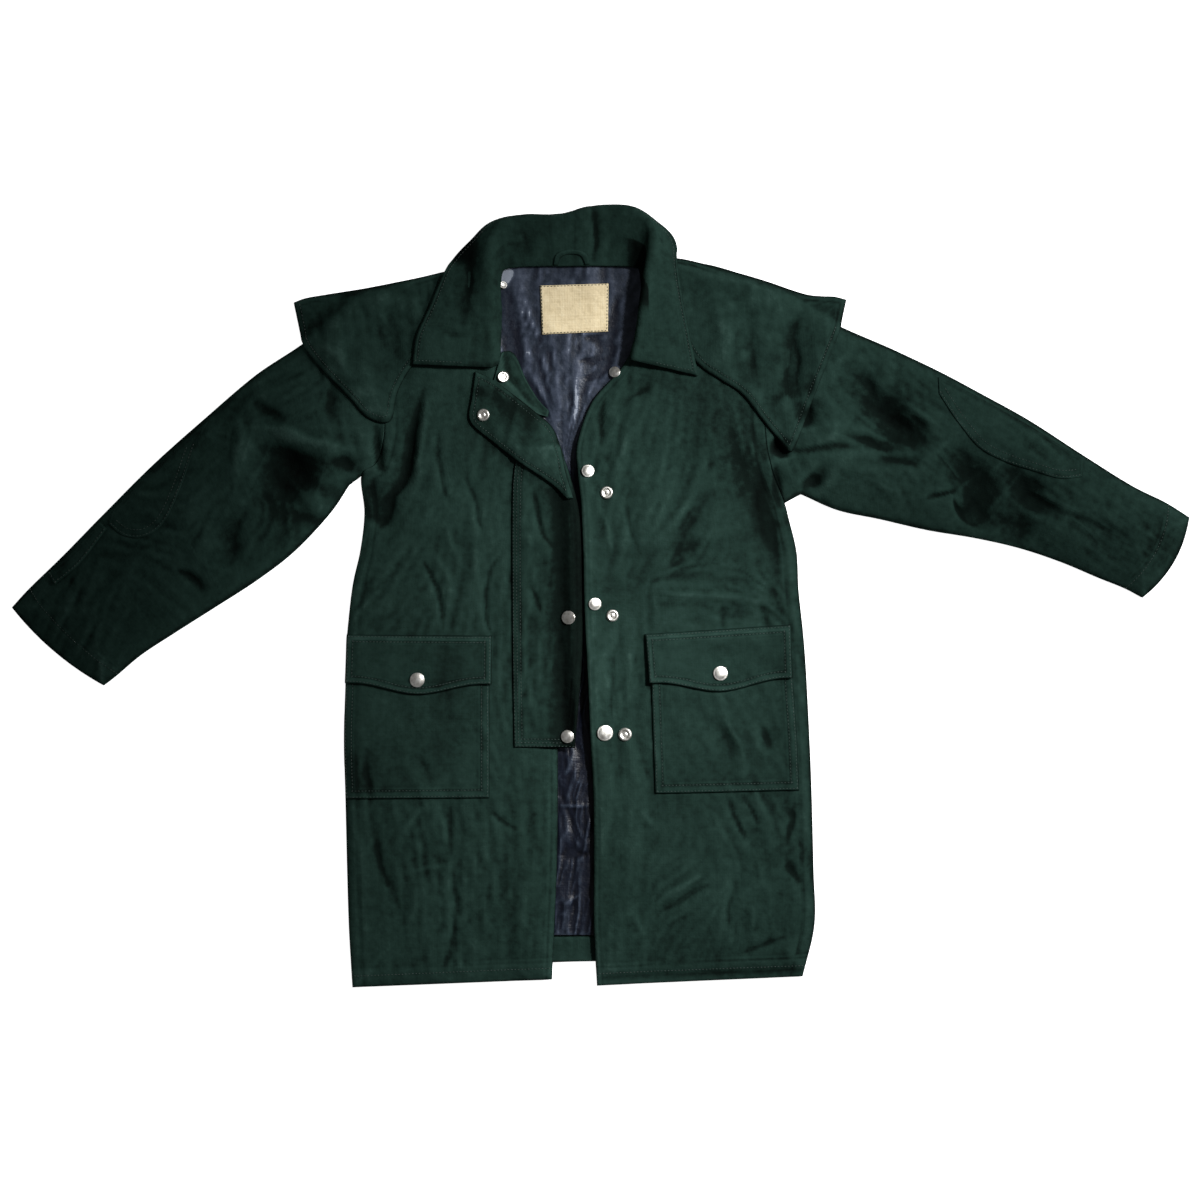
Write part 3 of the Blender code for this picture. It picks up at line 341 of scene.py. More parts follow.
FOLDS = np.array([
    # right sleeve
    (250, 444, 6, 326, 466, 13, -8, 1), (262, 466, 0, 318, 492, 20, -5, 0),
    (370, 463, 4, 245, 427, 9, 6.5, -1), (236, 412, -9, 232, 486, 8, 4.5, 0),
    (252, 400, 0, 290, 424, 6, -4, 1), (250, 505, 5, 228, 572, 8, -4.5, 1),
    (285, 500, 0, 330, 508, 12, 4, 0), (334, 376, 0, 331, 428, 9, -5, 0),
    (176, 570, 0, 210, 594, 6, -3.5, 0), (292, 515, 0, 330, 530, 8, -3, 0),
    (205, 470, -4, 180, 540, 9, 2.5, 1), (146, 545, 0, 120, 600, 8, 2, 0),
    (345, 452, 0, 352, 474, 8, -5, 0), (215, 520, 0, 190, 580, 8, 2, 0),
    (250, 390, 4, 215, 440, 10, -3, 1),
    # left sleeve
    (838, 362, 3, 932, 452, 11, -10, 1), (806, 398, 2, 810, 430, 8, -6, 0),
    (832, 433, 3, 900, 450, 5, -4.5, -1), (790, 453, -3, 862, 450, 5, -3, 0),
    (862, 450, 2, 925, 466, 6, -2.4, 0), (795, 444, -4, 900, 438, 9, 2.5, 0),
    (940, 448, 0, 1000, 498, 15, -9, 0), (1000, 462, 5, 1066, 516, 10, -9, 1),
    (1060, 512, 0, 1136, 543, 7, -3.5, 1), (962, 486, 3, 996, 532, 13, -7, 0),
    (992, 518, 0, 1030, 544, 12, -6, 0), (925, 500, 3, 958, 486, 4, -4, 0),
    (953, 494, 2, 978, 530, 4, -4, 0), (932, 492, 0, 972, 500, 7, 3.5, 0),
    (905, 402, 0, 946, 440, 7, 4, 0), (1020, 502, 0, 1090, 550, 12, 4, 0),
    (807, 472, 0, 822, 488, 8, -5, 0), (870, 470, 3, 900, 498, 8, 2, 0),
    # right front
    (424, 382, -10, 374, 536, 5, -6, 1),
    (428, 392, -4, 411, 486, 6, 3.5, 0), (374, 478, 3, 368, 524, 9, -4, 0),
    (398, 498, 0, 380, 530, 7, -3.5, 0), (379, 424, 2, 382, 474, 5, -5, 0),
    (424, 559, -6, 444, 632, 3, -2, 0), (500, 553, 14, 496, 640, 2.6, -2, 0),
    (433, 548, -5, 452, 612, 5, 1.6, 0), (448, 520, 0, 459, 568, 6, 1.6, 0),
    (370, 528, 0, 352, 588, 4, -2.6, 1), (374, 575, 0, 354, 616, 4, -2.2, 1),
    (398, 590, 0, 366, 623, 6, 1.8, 0), (416, 752, 0, 434, 788, 4, -1.8, 0),
    (369, 746, 0, 367, 806, 4, -2.2, 0), (369, 812, 5, 398, 905, 6, -1.6, 0),
    (430, 800, 0, 396, 844, 5, 1.6, 0), (452, 800, 0, 450, 840, 3.5, -1.5, 0),
    (422, 885, 0, 410, 922, 5, 1.4, 0), (453, 872, 0, 461, 918, 4, -1.5, 0),
    (456, 926, 0, 442, 975, 4, -1.2, 0), (484, 895, 0, 486, 935, 4, 1.4, 0),
    (490, 808, 0, 518, 830, 4, -1.4, 0), (403, 869, 0, 449, 867, 4, 1.2, 0),
    (500, 700, 0, 498, 900, 18, 2, 0), (440, 480, 0, 500, 560, 12, 1.6, 0),
    (533, 488, 4, 552, 552, 3.5, -1.8, 0), (532, 584, 3, 543, 614, 3.5, -1.5, 0),
    (470, 466, 4, 486, 542, 3.5, -1.4, 0), (442, 425, 5, 450, 505, 3.5, -1.6, 0),
    # left front
    (742, 446, -8, 776, 586, 8, -6, 1), (716, 488, 5, 668, 584, 9, -2.2, 0),
    (606, 392, 3, 601, 450, 4, -3, 1), (656, 378, 4, 618, 420, 6, -2.4, 1),
    (660, 450, 0, 650, 560, 16, 2.5, 0), (644, 587, 3, 752, 600, 5, 1.8, 0),
    (721, 604, 0, 728, 630, 4, -1.5, 0), (762, 600, 0, 771, 640, 7, -2.5, 0),
    (703, 712, -5, 739, 776, 5, -2.6, 1), (716, 712, -4, 748, 768, 5, 1.8, 0),
    (762, 724, 0, 770, 752, 5, -2.6, 0), (728, 795, 0, 748, 842, 4, -2, 0),
    (744, 792, 0, 762, 824, 4, -1.8, 0), (638, 800, 0, 662, 834, 5, 1.3, 0),
    (652, 904, 0, 706, 874, 5, 1.8, 0), (660, 912, 0, 712, 884, 4, -1.6, 0),
    (730, 890, 0, 732, 932, 4, -1.8, 0), (793, 800, 0, 790, 848, 5, -2.2, 0),
    (785, 862, 0, 800, 886, 5, -2.2, 0), (788, 938, 0, 740, 956, 4, -1.8, 0),
    (754, 902, 0, 756, 928, 4, 1.4, 0), (638, 912, 0, 640, 938, 4, 1.3, 0),
    (630, 760, 0, 625, 940, 16, 2, 0), (700, 400, 0, 720, 460, 10, 1.8, 0),
    (775, 436, 3, 785, 460, 7, -8, 0), (771, 462, 0, 784, 510, 6, -4.5, 0),
    (600, 498, 0, 612, 562, 4, 1.3, 0), (615, 640, 0, 610, 722, 4, -1.3, 0),
    (632, 468, 6, 640, 562, 4, -1, 0),
], dtype=FOLD)

CAPE_FOLDS = np.array([
    (799, 300, 7, 801, 436, 8, -6, 1), (812, 372, 0, 810, 408, 6, -3, 0),
    (775, 300, 0, 778, 400, 12, 3, 0), (340, 312, 6, 352, 385, 12, 3.5, 0),
    (400, 300, 0, 392, 400, 9, -2.5, 1), (725, 300, 0, 735, 370, 13, 2.5, 0),
    (310, 318, 0, 330, 345, 7, -1, 0), (372, 330, 0, 366, 405, 8, 2, 0),
    (750, 330, 0, 757, 400, 6, -2, 1), (828, 310, 0, 822, 370, 7, 2.5, 0),
    (316, 340, 0, 350, 372, 6, 2, 0),
], dtype=FOLD)

# Painted shade: broad hollows and shaded places darkened in colour without a crease of their own.
# A row with a height above zero paints a highlight instead.
PAINTED_SHADE_PLACES = np.array([
    # right sleeve
    (262, 462, 0, 325, 482, 22, -6, 0), (258, 505, 0, 318, 516, 20, -4.5, 0),
    (320, 380, 0, 322, 440, 14, -5, 0), (247, 540, 0, 235, 572, 14, -3, 0),
    (188, 446, 0, 206, 422, 14, -3, 0), (186, 575, 0, 206, 596, 9, -3.5, 0),
    (345, 445, 0, 354, 470, 10, -5, 0), (238, 420, 0, 264, 438, 9, -3.5, 0),
    # right front
    (382, 474, 0, 366, 528, 14, -7, 0), (413, 388, -6, 384, 520, 9, -6, 0),
    (540, 474, 0, 576, 515, 14, -4, 0), (352, 744, 0, 358, 806, 14, -10, 0),
    (440, 728, 0, 448, 766, 10, -5, 0), (372, 815, 4, 398, 905, 7, -3, 0),
    (484, 900, 0, 486, 942, 7, -2.5, 0), (455, 922, 0, 444, 972, 6, -1, 0),
    (446, 650, 0, 440, 738, 10, -3, 0), (470, 430, 0, 562, 502, 6, -5, 0),
    # left front
    (690, 372, 8, 748, 470, 15, -5, 0), (738, 440, -5, 780, 562, 17, -6, 0),
    (776, 560, 0, 790, 640, 10, -5, 0), (715, 482, 4, 672, 590, 12, -2.5, 0),
    (628, 374, 0, 706, 388, 9, -4, 0), (728, 700, -3, 742, 762, 8, -3.5, 0),
    (764, 728, 0, 768, 748, 6, -3, 0), (732, 804, 0, 748, 842, 8, -2.5, 0),
    (800, 838, 0, 801, 902, 13, -5, 0), (700, 950, 0, 732, 958, 9, -3, 0),
    (770, 436, 0, 782, 458, 8, -10, 0), (604, 396, 2, 602, 446, 5, -3, 0),
    # left sleeve
    (868, 380, 4, 930, 452, 15, -5, 0), (945, 452, 0, 1006, 534, 26, -4.5, 0),
    (804, 395, 0, 809, 432, 9, -6, 0), (1019, 480, 4, 1100, 530, 11, -4.5, 0),
    (806, 478, 0, 820, 488, 8, -6, 0), (838, 434, 0, 894, 448, 6, -2.5, 0),
    # cuffs
    (1172, 512, 0, 1150, 575, 17, -8, 0), (44, 578, 0, 78, 562, 11, -6, 0),
    # painted highlights on lit ridges of the right sleeve, and one more painted shade
    (252, 402, -8, 236, 496, 6, 5, 0), (262, 433, -3, 346, 453, 6, 5, 0),
    (118, 528, 0, 150, 540, 6, -2.5, 0),
], dtype=FOLD)

# How round a crease of a given width is, how fast it falls away, and how it wanders off its line.
CREASE_ROUND = (0.18, 1.1)
ROUND_WIDTH = 13.0
CREASE_FALL = 1.3
VALLEY_DEPTH = 1.3
LEAN_REACH = 2.1
WANDER = 7.0
WANDER_CELL = 24.0


def fold_height(points, folds):
    """Sum of the ridges and valleys of a table of folds, each pressed to a narrow line."""
    total = np.zeros(len(points))
    for fold in folds:
        start = np.array([fold["x0"], fold["y0"]])
        along = np.array([fold["x1"], fold["y1"]]) - start
        length = np.linalg.norm(along)
        along = along / length
        across = np.array([-along[1], along[0]])
        share = np.clip((points - start) @ along / length, 0, 1)
        middle = fold["bend"] * 4 * share * (1 - share)
        wander = WANDER * (lattice_noise(points, WANDER_CELL, 51) - 0.5)
        away = points - start - share[:, None] * length * along
        away = away - (middle + wander)[:, None] * across
        width = np.where((away @ across) * fold["lean"] > 0, LEAN_REACH, 1.0) * fold["width"]
        taper = 0.08 + 0.92 * np.sin(math.pi * share) ** 1.1
        round_off = np.clip(fold["width"] / ROUND_WIDTH, *CREASE_ROUND)
        pressed = np.exp(round_off - np.sqrt((away ** 2).sum(axis=1) / width ** 2 + round_off ** 2))
        depth = fold["height"] * (VALLEY_DEPTH if fold["height"] < 0 else 1.0)
        total += depth * taper * pressed ** CREASE_FALL
    return total


def lattice_noise(points, cell, seed):
    """Smooth noise between 0 and 1, with one value per cell of a square lattice."""
    scaled = points / cell
    base = np.floor(scaled).astype(np.int64)
    part = scaled - base
    fade = part ** 3 * (part * (part * 6 - 15) + 10)
    total = np.zeros(len(points))
    for dx in (0, 1):
        for dy in (0, 1):
            key = (base[:, 0] + dx) * 374761393 + (base[:, 1] + dy) * 668265263 + seed * 974634777
            key = (key ^ (key >> 13)) * 1274126177
            value = ((key ^ (key >> 16)) & 0xFFFF) / 0xFFFF
            weight_x = fade[:, 0] if dx else 1 - fade[:, 0]
            weight_y = fade[:, 1] if dy else 1 - fade[:, 1]
            total += value * weight_x * weight_y
    return total


def crests(points, cell, seed):
    """Noise with sharp crests, like creases pressed into stiff cloth."""
    return 1 - np.abs(2 * lattice_noise(points, cell, seed) - 1)


def sample_raster(raster, points, first_x, first_y, cell):
    """Raster values at plan points, blended between its cells."""
    column = np.clip((points[..., 0] - first_x) / cell, 0, raster.shape[1] - 1.001)
    row = np.clip((points[..., 1] - first_y) / cell, 0, raster.shape[0] - 1.001)
    c, r = column.astype(int), row.astype(int)
    u, v = column - c, row - r
    return (raster[r, c] * (1 - u) * (1 - v) + raster[r, c + 1] * u * (1 - v)
            + raster[r + 1, c] * (1 - u) * v + raster[r + 1, c + 1] * u * v)


# The pull of the cloth at places on the table: its direction in degrees, turned from x towards y.
PULL = [("x", float), ("y", float), ("turn", float)]
PULLS = np.array([
    (380, 520, -52), (440, 460, -75), (490, 560, 92), (385, 605, -46), (440, 745, 60),
    (360, 780, 90), (400, 850, 80), (480, 900, 92), (420, 660, 100), (540, 640, 90),
    (745, 510, 74), (690, 530, -60), (640, 440, 104), (700, 595, 6), (720, 745, 60),
    (745, 820, 65), (680, 890, -32), (760, 910, 84), (630, 900, 90), (620, 640, 92),
    (310, 450, 16), (262, 465, 62), (230, 545, -64), (185, 585, 42), (150, 535, 12),
    (95, 610, -62), (285, 390, -30), (340, 440, 80), (200, 470, -40),
    (870, 400, 42), (865, 462, 10), (945, 470, 34), (1050, 505, 32), (980, 500, 56),
    (1110, 525, 36), (1000, 420, 36), (905, 505, 62), (825, 440, 60),
    (350, 345, 84), (430, 330, 76), (720, 330, 82), (795, 370, 88), (570, 230, 88),
], dtype=PULL)


def pull_at(points):
    """Unit direction of the pull at plan points, blended from the places in the table."""
    away = np.maximum(np.hypot(points[:, :1] - PULLS["x"], points[:, 1:] - PULLS["y"]), 4.0)
    weight = away ** -3.0
    turn = np.radians(PULLS["turn"]) * 2
    double = np.arctan2((weight * np.sin(turn)).sum(axis=1), (weight * np.cos(turn)).sum(axis=1))
    return np.stack([np.cos(double / 2), np.sin(double / 2)], axis=1)


STRAIN_CELL = 2.0
STRAIN_X = np.arange(0, 1202, STRAIN_CELL)
STRAIN_Y = np.arange(180, 1022, STRAIN_CELL)
STREAKS = np.array([(19, 44, 0.36), (9, 24, 0.32), (5, 12, 0.22)],
                   dtype=[("cell", float), ("reach", float), ("height", float)])
STREAK_SHARE = 0.9
SWELL_CELL = 75.0
WAVE_CELL = 60.0
WAVE_HEIGHT = 1.6
SPOTS = np.stack(np.meshgrid(STRAIN_X, STRAIN_Y), axis=-1).reshape(-1, 2)
PULL_RASTER = pull_at(SPOTS).reshape(len(STRAIN_Y), len(STRAIN_X), 2)


def streaks(cell, reach, seed, steps=5):
    """Noise smeared along the pull, so that its crests become lines of strain. Mean 0, spread 1."""
    noise_raster = lattice_noise(SPOTS, cell, seed).reshape(PULL_RASTER.shape[:2])
    total = np.zeros(len(SPOTS))
    for sign in (1, -1):
        place, before = SPOTS.copy(), None
        for _ in range(steps):
            column = np.clip(place[:, 0] / STRAIN_CELL, 0, len(STRAIN_X) - 1).astype(int)
            row = np.clip((place[:, 1] - STRAIN_Y[0]) / STRAIN_CELL, 0, len(STRAIN_Y) - 1)
            step = PULL_RASTER[row.astype(int), column]
            if before is not None:
                step = step * np.sign((step * before).sum(axis=1))[:, None]
            before = step
            place = place + sign * step * reach / steps
            total += sample_raster(noise_raster, place, STRAIN_X[0], STRAIN_Y[0], STRAIN_CELL)
    total -= total.mean()
    return total / total.std()


def strain_raster(seed):
    """Raster of strain lines in millimetres: long soft ones, short fine ones, and a slow swell."""
    swell = 0.35 + 1.3 * lattice_noise(SPOTS, SWELL_CELL, seed + 30)
    total = sum(row["height"] * streaks(row["cell"], row["reach"], seed + index)
                for index, row in enumerate(STREAKS))
    wave = WAVE_HEIGHT * lattice_noise(SPOTS, WAVE_CELL, seed + len(STREAKS))
    total = STREAK_SHARE * swell * total + wave
    return (total - total.min()).reshape(len(STRAIN_Y), len(STRAIN_X))


strain = {}


def crumple(points, seed=1):
    """Small crumples of the waxed cloth in millimetres, never below zero."""
    if seed not in strain:
        strain[seed] = strain_raster(seed)
    return sample_raster(strain[seed], points, STRAIN_X[0], STRAIN_Y[0], STRAIN_CELL)


print("folds:", len(FOLDS) + len(CAPE_FOLDS))

# %% [markdown]
# ## Painted shading
# The material reads one number at each point of the cloth: above zero it is worn pale or carries a
# painted highlight, below zero it carries painted shade. Valleys, shaded places, seams and whole
# shaded regions all lower it with painted shade. A region starts at a place on x, y or both and
# grows over a reach; a reach below zero grows the other way, and a reach of zero leaves that
# direction out.

# %% Shading
SHADE = [("amount", float), ("x", float), ("x_reach", float), ("y", float), ("y_reach", float)]
SIDE_PAINTED_SHADE = np.array([(-0.30, 650, 130, 0, 0)], dtype=SHADE)
VALLEY_SHADE = 0.85
SHADE_DEPTH = 13.0
PAINTED_SHADE_SHARE = 0.11
SMALL_PIECE_SHADE_SHARE = 0.1
EDGE_DARK, EDGE_HALF = 0.7, 1.6
STITCH_DARK, STITCH_HALF = 0.6, 1.5


def shaded(points, table):
    """Sum of the soft-edged regions of a table."""
    total = np.zeros(points.shape[:-1])
    for row in table:
        part = row["amount"]
        for axis, name in enumerate(("x", "y")):
            if row[name + "_reach"]:
                part = part * smooth_step((points[..., axis] - row[name]) / row[name + "_reach"])
        total += part
    return total


def painted_side_shade(points):
    """Painted shade: the cloth darkens towards the wearer's left side seam, where the light falls off."""
    return shaded(points, SIDE_PAINTED_SHADE)


def painted_shade(points, places=PAINTED_SHADE_PLACES, share=PAINTED_SHADE_SHARE):
    """Painted shade of the broad hollows and shaded places below 0, and painted highlight above 0."""
    return share * fold_height(points, places)


def seam_shade_lines(distance, width):
    """Painted shade: a contact shadow along a piece's edge and a dark line in its stitch groove."""
    edge = EDGE_DARK * np.exp(-(distance / EDGE_HALF) ** 2)
    return -edge - STITCH_DARK * np.exp(-((distance - width) / STITCH_HALF) ** 2)


def hollow(points, folds):
    """Painted shade in the valleys of a table of folds, from 0 to -1."""
    depth = np.maximum(-fold_height(points, folds), 0)
    return -VALLEY_SHADE * smooth_step(depth / SHADE_DEPTH)


print("shading ready")

# %% Plan grids that the heights depend on
FRONTS = {"right": FRONT_RIGHT, "left": FRONT_LEFT}
SLEEVES = {"right": SLEEVE_RIGHT, "left": SLEEVE_LEFT}
SMOOTH = 8


def side_lines(table, first=("side_x", "side_y"), second=("edge_x", "edge_y")):
    """The two side lines of a panel, smooth through the rows of its table."""
    return (through_rows(columns_of(table, first), SMOOTH),
            through_rows(columns_of(table, second), SMOOTH))


def band_lines(table):
    return side_lines(table, ("top_x", "top_y"), ("low_x", "low_y"))


def sleeve_plan(side):
    """Plan grid of a sleeve from its armhole to its cuff."""
    table = SLEEVES[side]
    armhole = side_lines(FRONTS[side])[0][ARMPIT_ROW * SMOOTH:][::-1]
    outward = -1.0 if side == "right" else 1.0
    armhole = armhole + np.array([outward * GAP, 0.0])
    over, under = side_lines(table, ("over_x", "over_y"), ("under_x", "under_y"))
    bows = through_rows(columns_of(table, ("bow",)), SMOOTH)[:, 0]
    width = line_length(np.array([over[0], under[0]]))
    shares = spaced(width, CELL)
    rows = between(over, under, shares)
    along = rows[:, -1] - rows[:, 0]
    across = np.stack([-along[:, 1], along[:, 0]], axis=1)
    across /= np.linalg.norm(across, axis=1)[:, None]
    towards = np.sign((PLAN_MIDDLE_X - rows[:, 0, 0]) * across[:, 0])
    arch = 4 * shares * (1 - shares)
    rows = rows + (across * (towards * bows)[:, None])[:, None] * arch[None, :, None]
    first = resampled(armhole, shares)
    whole = np.concatenate([first[None], ((first + rows[0]) / 2)[None], rows])
    middle = whole[:, whole.shape[1] // 2]
    stations = spaced(line_length(middle), CELL)
    return np.stack([resampled(whole[:, k], stations) for k in range(whole.shape[1])], axis=1)


FRONT_PLANS = {side: fine_grid(*side_lines(table)) for side, table in FRONTS.items()}
SLEEVE_PLANS = {side: sleeve_plan(side) for side in SLEEVES}
CAPE_BACK_OUTLINE = outline_of(between(*band_lines(CAPE_BACK), [0, 1]))
LINING_OUTLINE = outline_of(between(*band_lines(np.concatenate([LINING_STRIP, HEM_FACING])), [0, 1]))


def coat_outline():
    """Outline of the body and both sleeves, without the collar."""
    start = ARMPIT_ROW * SMOOTH
    right, left = side_lines(FRONT_RIGHT)[0], side_lines(FRONT_LEFT)[0]
    one, two = SLEEVE_PLANS["right"], SLEEVE_PLANS["left"]
    whole = np.vstack([right[:start], one[:, -1], one[-1, ::-1], one[::-1, 0], left[-1:],
                       two[:, 0], two[-1], two[::-1, -1], left[start - 1::-1]])
    return whole[::2]


COAT_OUTLINE = coat_outline()
OPENING_OUTLINE = np.vstack([side_lines(FRONT_RIGHT)[1][::2], side_lines(FRONT_LEFT)[1][::-2],
                             [[597.0, 1020.0], [552.0, 1020.0]]])
print("outline points:", len(COAT_OUTLINE), len(OPENING_OUTLINE))


# %% Heights of the laid cloth
BACK_SEED = 41
BACK_ROUGH = 0.25
SLEEVE_FROM = 195.0
SLEEVE_BLEND = 60.0
LEAST_LIFT = 1.5
LOWEST_SLOPE = 0.12
LOWEST_REACH = 6.0
# The left front's free edge stands off the lining, by these heights at these places down the front.
EDGE_STAND_Y = (420.0, 480.0, 560.0, 700.0, 770.0, 940.0)
EDGE_STAND = (0.0, 7.0, 9.0, 9.0, 4.0, 1.0)
EDGE_STAND_REACH = 17.0
OPENING_MIDDLE = 570.0


def coverage(points, outline, reach):
    """1 inside an outline and out to the reach, falling smoothly to 0 one step further out."""
    return 1 - smooth_step((signed_distance(points, outline) - reach) / STEP_REACH)


def back_height(points, layer=1):
    """Underside of the back panel and of the sleeves' lower walls, or of a layer above them."""
    cape = (CLOTH + GAP) * coverage(points, CAPE_BACK_OUTLINE, STEP_REACH * layer)
    return cape + BACK_ROUGH * crumple(points, BACK_SEED)


def lining_height(points):
    """Underside of the back lining."""
    return CLOTH + GAP + back_height(points, 2)


def upper_height(points):
    """Underside of the coat's upper cloth: the fronts and the sleeves' upper walls."""
    inland = np.maximum(-signed_distance(points, COAT_OUTLINE), 0)
    from_opening = np.maximum(signed_distance(points, OPENING_OUTLINE), 0)
    from_edge = np.minimum(inland, from_opening)
    sleeve = smooth_step((np.abs(points[:, 0] - ARMHOLES_MIDDLE) - SLEEVE_FROM) / SLEEVE_BLEND)
    reach = LOFT_REACH + (SLEEVE_REACH - LOFT_REACH) * sleeve
    loft = (BODY_LOFT + SLEEVE_LOFT * sleeve) * (
        1 - np.exp(-np.minimum(inland, from_opening + OPENING_LIFT) / reach))
    rough = fold_height(points, FOLDS) + crumple(points)
    near = 1 - np.exp(-from_edge / FOLD_REACH)
    floor = CLOTH + GAP + back_height(points, 3)
    floor = floor + (LINING + GAP) * coverage(points, LINING_OUTLINE, STEP_REACH)
    lowest = LOWEST_SLOPE * from_edge.clip(0, LOWEST_REACH)
    stand = np.interp(points[:, 1], EDGE_STAND_Y, EDGE_STAND) * (points[:, 0] > OPENING_MIDDLE)
    lifted = loft + rough * near + stand * np.exp(-(from_opening / EDGE_STAND_REACH) ** 2)
    soft = np.where(lifted > LEAST_LIFT, lifted,
                    LEAST_LIFT * np.exp((lifted - LEAST_LIFT) / LEAST_LIFT))
    return floor + np.maximum(soft, lowest)


print("height at the chest:", upper_height(np.array([[450.0, 560.0]])))

# %% [markdown]
# ## Walls of cloth
# Every panel is a closed wall: a top face, an underside and a rounded rim. A hem is sewn flat, so
# its top rises between the cut edge and the stitch row and dips under the stitches. The wall keeps
# two things for its material: a grain map in metres, so that the weave follows the cut, and a layer
# of wear and painted light, which says where a crest has rubbed pale and where painted shade darkens
# a hollow, a seam or a shaded place.


# %% Wall builder
RELIEF_RANGE = (-2.8, 2.0)
NEAR_ROUNDS, NEAR_HEIGHT, NEAR_SHARE = 4, 0.22, 0.55
WIDE_ROUNDS, WIDE_HEIGHT, WIDE_SHARE = 30, 1.8, 0.45
UNDERSIDE_RELIEF = 0.3
LEAST_WALL = 0.3
pieces = {}
trees = {}


def tree_of(item):
    corners = [vertex.co.copy() for vertex in item.data.vertices]
    return BVHTree.FromPolygons(corners, [tuple(face.vertices) for face in item.data.polygons])


def blurred(values, rounds):
    """Values of a grid, evened out with their neighbours."""
    for _ in range(rounds):
        wide = np.pad(values, 1, mode="edge")
        values = (wide[1:-1, 1:-1] * 2 + wide[:-2, 1:-1] + wide[2:, 1:-1]
                  + wide[1:-1, :-2] + wide[1:-1, 2:]) / 6
    return values


# Its values colour the cloth: crests turn pale, rubbed on the cloth and a painted highlight on the lining,
# and hollows get painted shade.
def relief_of(heights):
    """How far each point of a grid stands above the cloth round it, from -1 to 1."""
    near = (heights - blurred(heights, NEAR_ROUNDS)) / NEAR_HEIGHT
    wide = (heights - blurred(heights, WIDE_ROUNDS)) / WIDE_HEIGHT
    return np.clip(NEAR_SHARE * near + WIDE_SHARE * wide, -1, 1)


def grain_of(grid):
    """Distances in metres along the columns and rows of a grid of points."""
    across = paces(grid[grid.shape[0] // 2])
    along = paces(grid[:, grid.shape[1] // 2])
    return np.stack(np.meshgrid(across * MM, along * MM), axis=-1)


def finish_mesh(name, corners, faces, material, grain, wear_and_painted_light):
    """Mesh object with outward faces, smooth shading, grain map, and rubbed wear with painted shade."""
    mesh = bpy.data.meshes.new(name)
    mesh.from_pydata(to_world(corners).tolist(), [], faces)
    work = bmesh.new()
    work.from_mesh(mesh)
    bmesh.ops.recalc_face_normals(work, faces=work.faces)
    work.to_mesh(mesh)
    work.free()
    mesh.shade_smooth()
    layer = mesh.uv_layers.new(name="grain")
    corner_of_loop = np.zeros(len(mesh.loops), dtype=np.int32)
    mesh.loops.foreach_get("vertex_index", corner_of_loop)
    layer.data.foreach_set("uv", grain[corner_of_loop].ravel().astype(np.float32))
    wear_and_light_layer = mesh.attributes.new("wear_and_painted_light", "FLOAT", "POINT")
    wear_and_light_layer.data.foreach_set("value", wear_and_painted_light.astype(np.float32))
    mesh.materials.append(material)
    item = bpy.data.objects.new("fine_" + name, mesh)
    bpy.context.scene.collection.objects.link(item)
    pieces[name] = item
    trees[name] = tree_of(item)
    return item


def wall(name, lower, upper, material, wear_and_painted_light=None):
    """Closed wall between two grids of points that have the same rows and columns."""
    rows, columns = lower.shape[:2]
    top = rows * columns
    corner = np.arange(top).reshape(rows, columns)
    quads = np.stack([corner[:-1, :-1], corner[:-1, 1:], corner[1:, 1:], corner[1:, :-1]], axis=-1)
    quads = quads.reshape(-1, 4)
    rim = np.concatenate([corner[0], corner[1:, -1], corner[-1, -2::-1], corner[-2:0:-1, 0]])
    after = np.roll(rim, -1)
    sides = np.stack([rim, rim + top, after + top, after], axis=1)
    faces = np.concatenate([quads, quads[:, ::-1] + top, sides]).tolist()
    grain = grain_of(upper).reshape(-1, 2)
    raised = relief_of(upper[:, :, 2]) if wear_and_painted_light is None else wear_and_painted_light
    return finish_mesh(name, np.vstack([lower.reshape(-1, 3), upper.reshape(-1, 3)]), faces,
                       material, np.vstack([grain, grain]),
                       np.concatenate([raised.ravel() * UNDERSIDE_RELIEF, raised.ravel()]))


def rounded(shape):
    """Share of the wall left at each grid point, so that its rim is round."""
    share = np.ones(shape)
    for edge in (share[0], share[-1], share[:, 0], share[:, -1]):
        edge[:] = 0.5
    return share


def panel(name, grid, heights, thickness, material, extra=0.0, shade=0.0):
    """Cloth wall on a plan grid, its underside at the heights, its top lifted by the extra, and the
    painted shade added to its wear and painted light."""
    share = rounded(heights.shape)
    low = heights + 0.5 * thickness * (1 - share)
    high = heights + thickness * share + extra * share
    high = np.maximum(high, low + LEAST_WALL)
    return wall(name, np.dstack([grid, low]), np.dstack([grid, high]), material,
                np.clip(relief_of(high) + shade, *RELIEF_RANGE))


def hem(distance, width, lift=0.7, groove=0.55):
    """Height that a sewn hem adds at a distance from its edge: a band, then a stitched groove."""
    band = lift * (1 - smooth_step((distance - width - 1.0) / 2.5))
    return band - groove * np.exp(-((distance - width) / 1.7) ** 2)


print("wall builder ready")

# %% [markdown]
# ## The pile
# What is laid later rests on what was laid before. A height map of the pile on a 2 mm raster is
# filled by looking down on each finished piece; a sheet laid on it spans the steps like taut cloth.

# %% Pile map
PILE_CELL = 2.0
PILE_X = np.arange(0, 1200, PILE_CELL)
PILE_Y = np.arange(190, 1010, PILE_CELL)
pile = np.zeros((len(PILE_Y), len(PILE_X)))


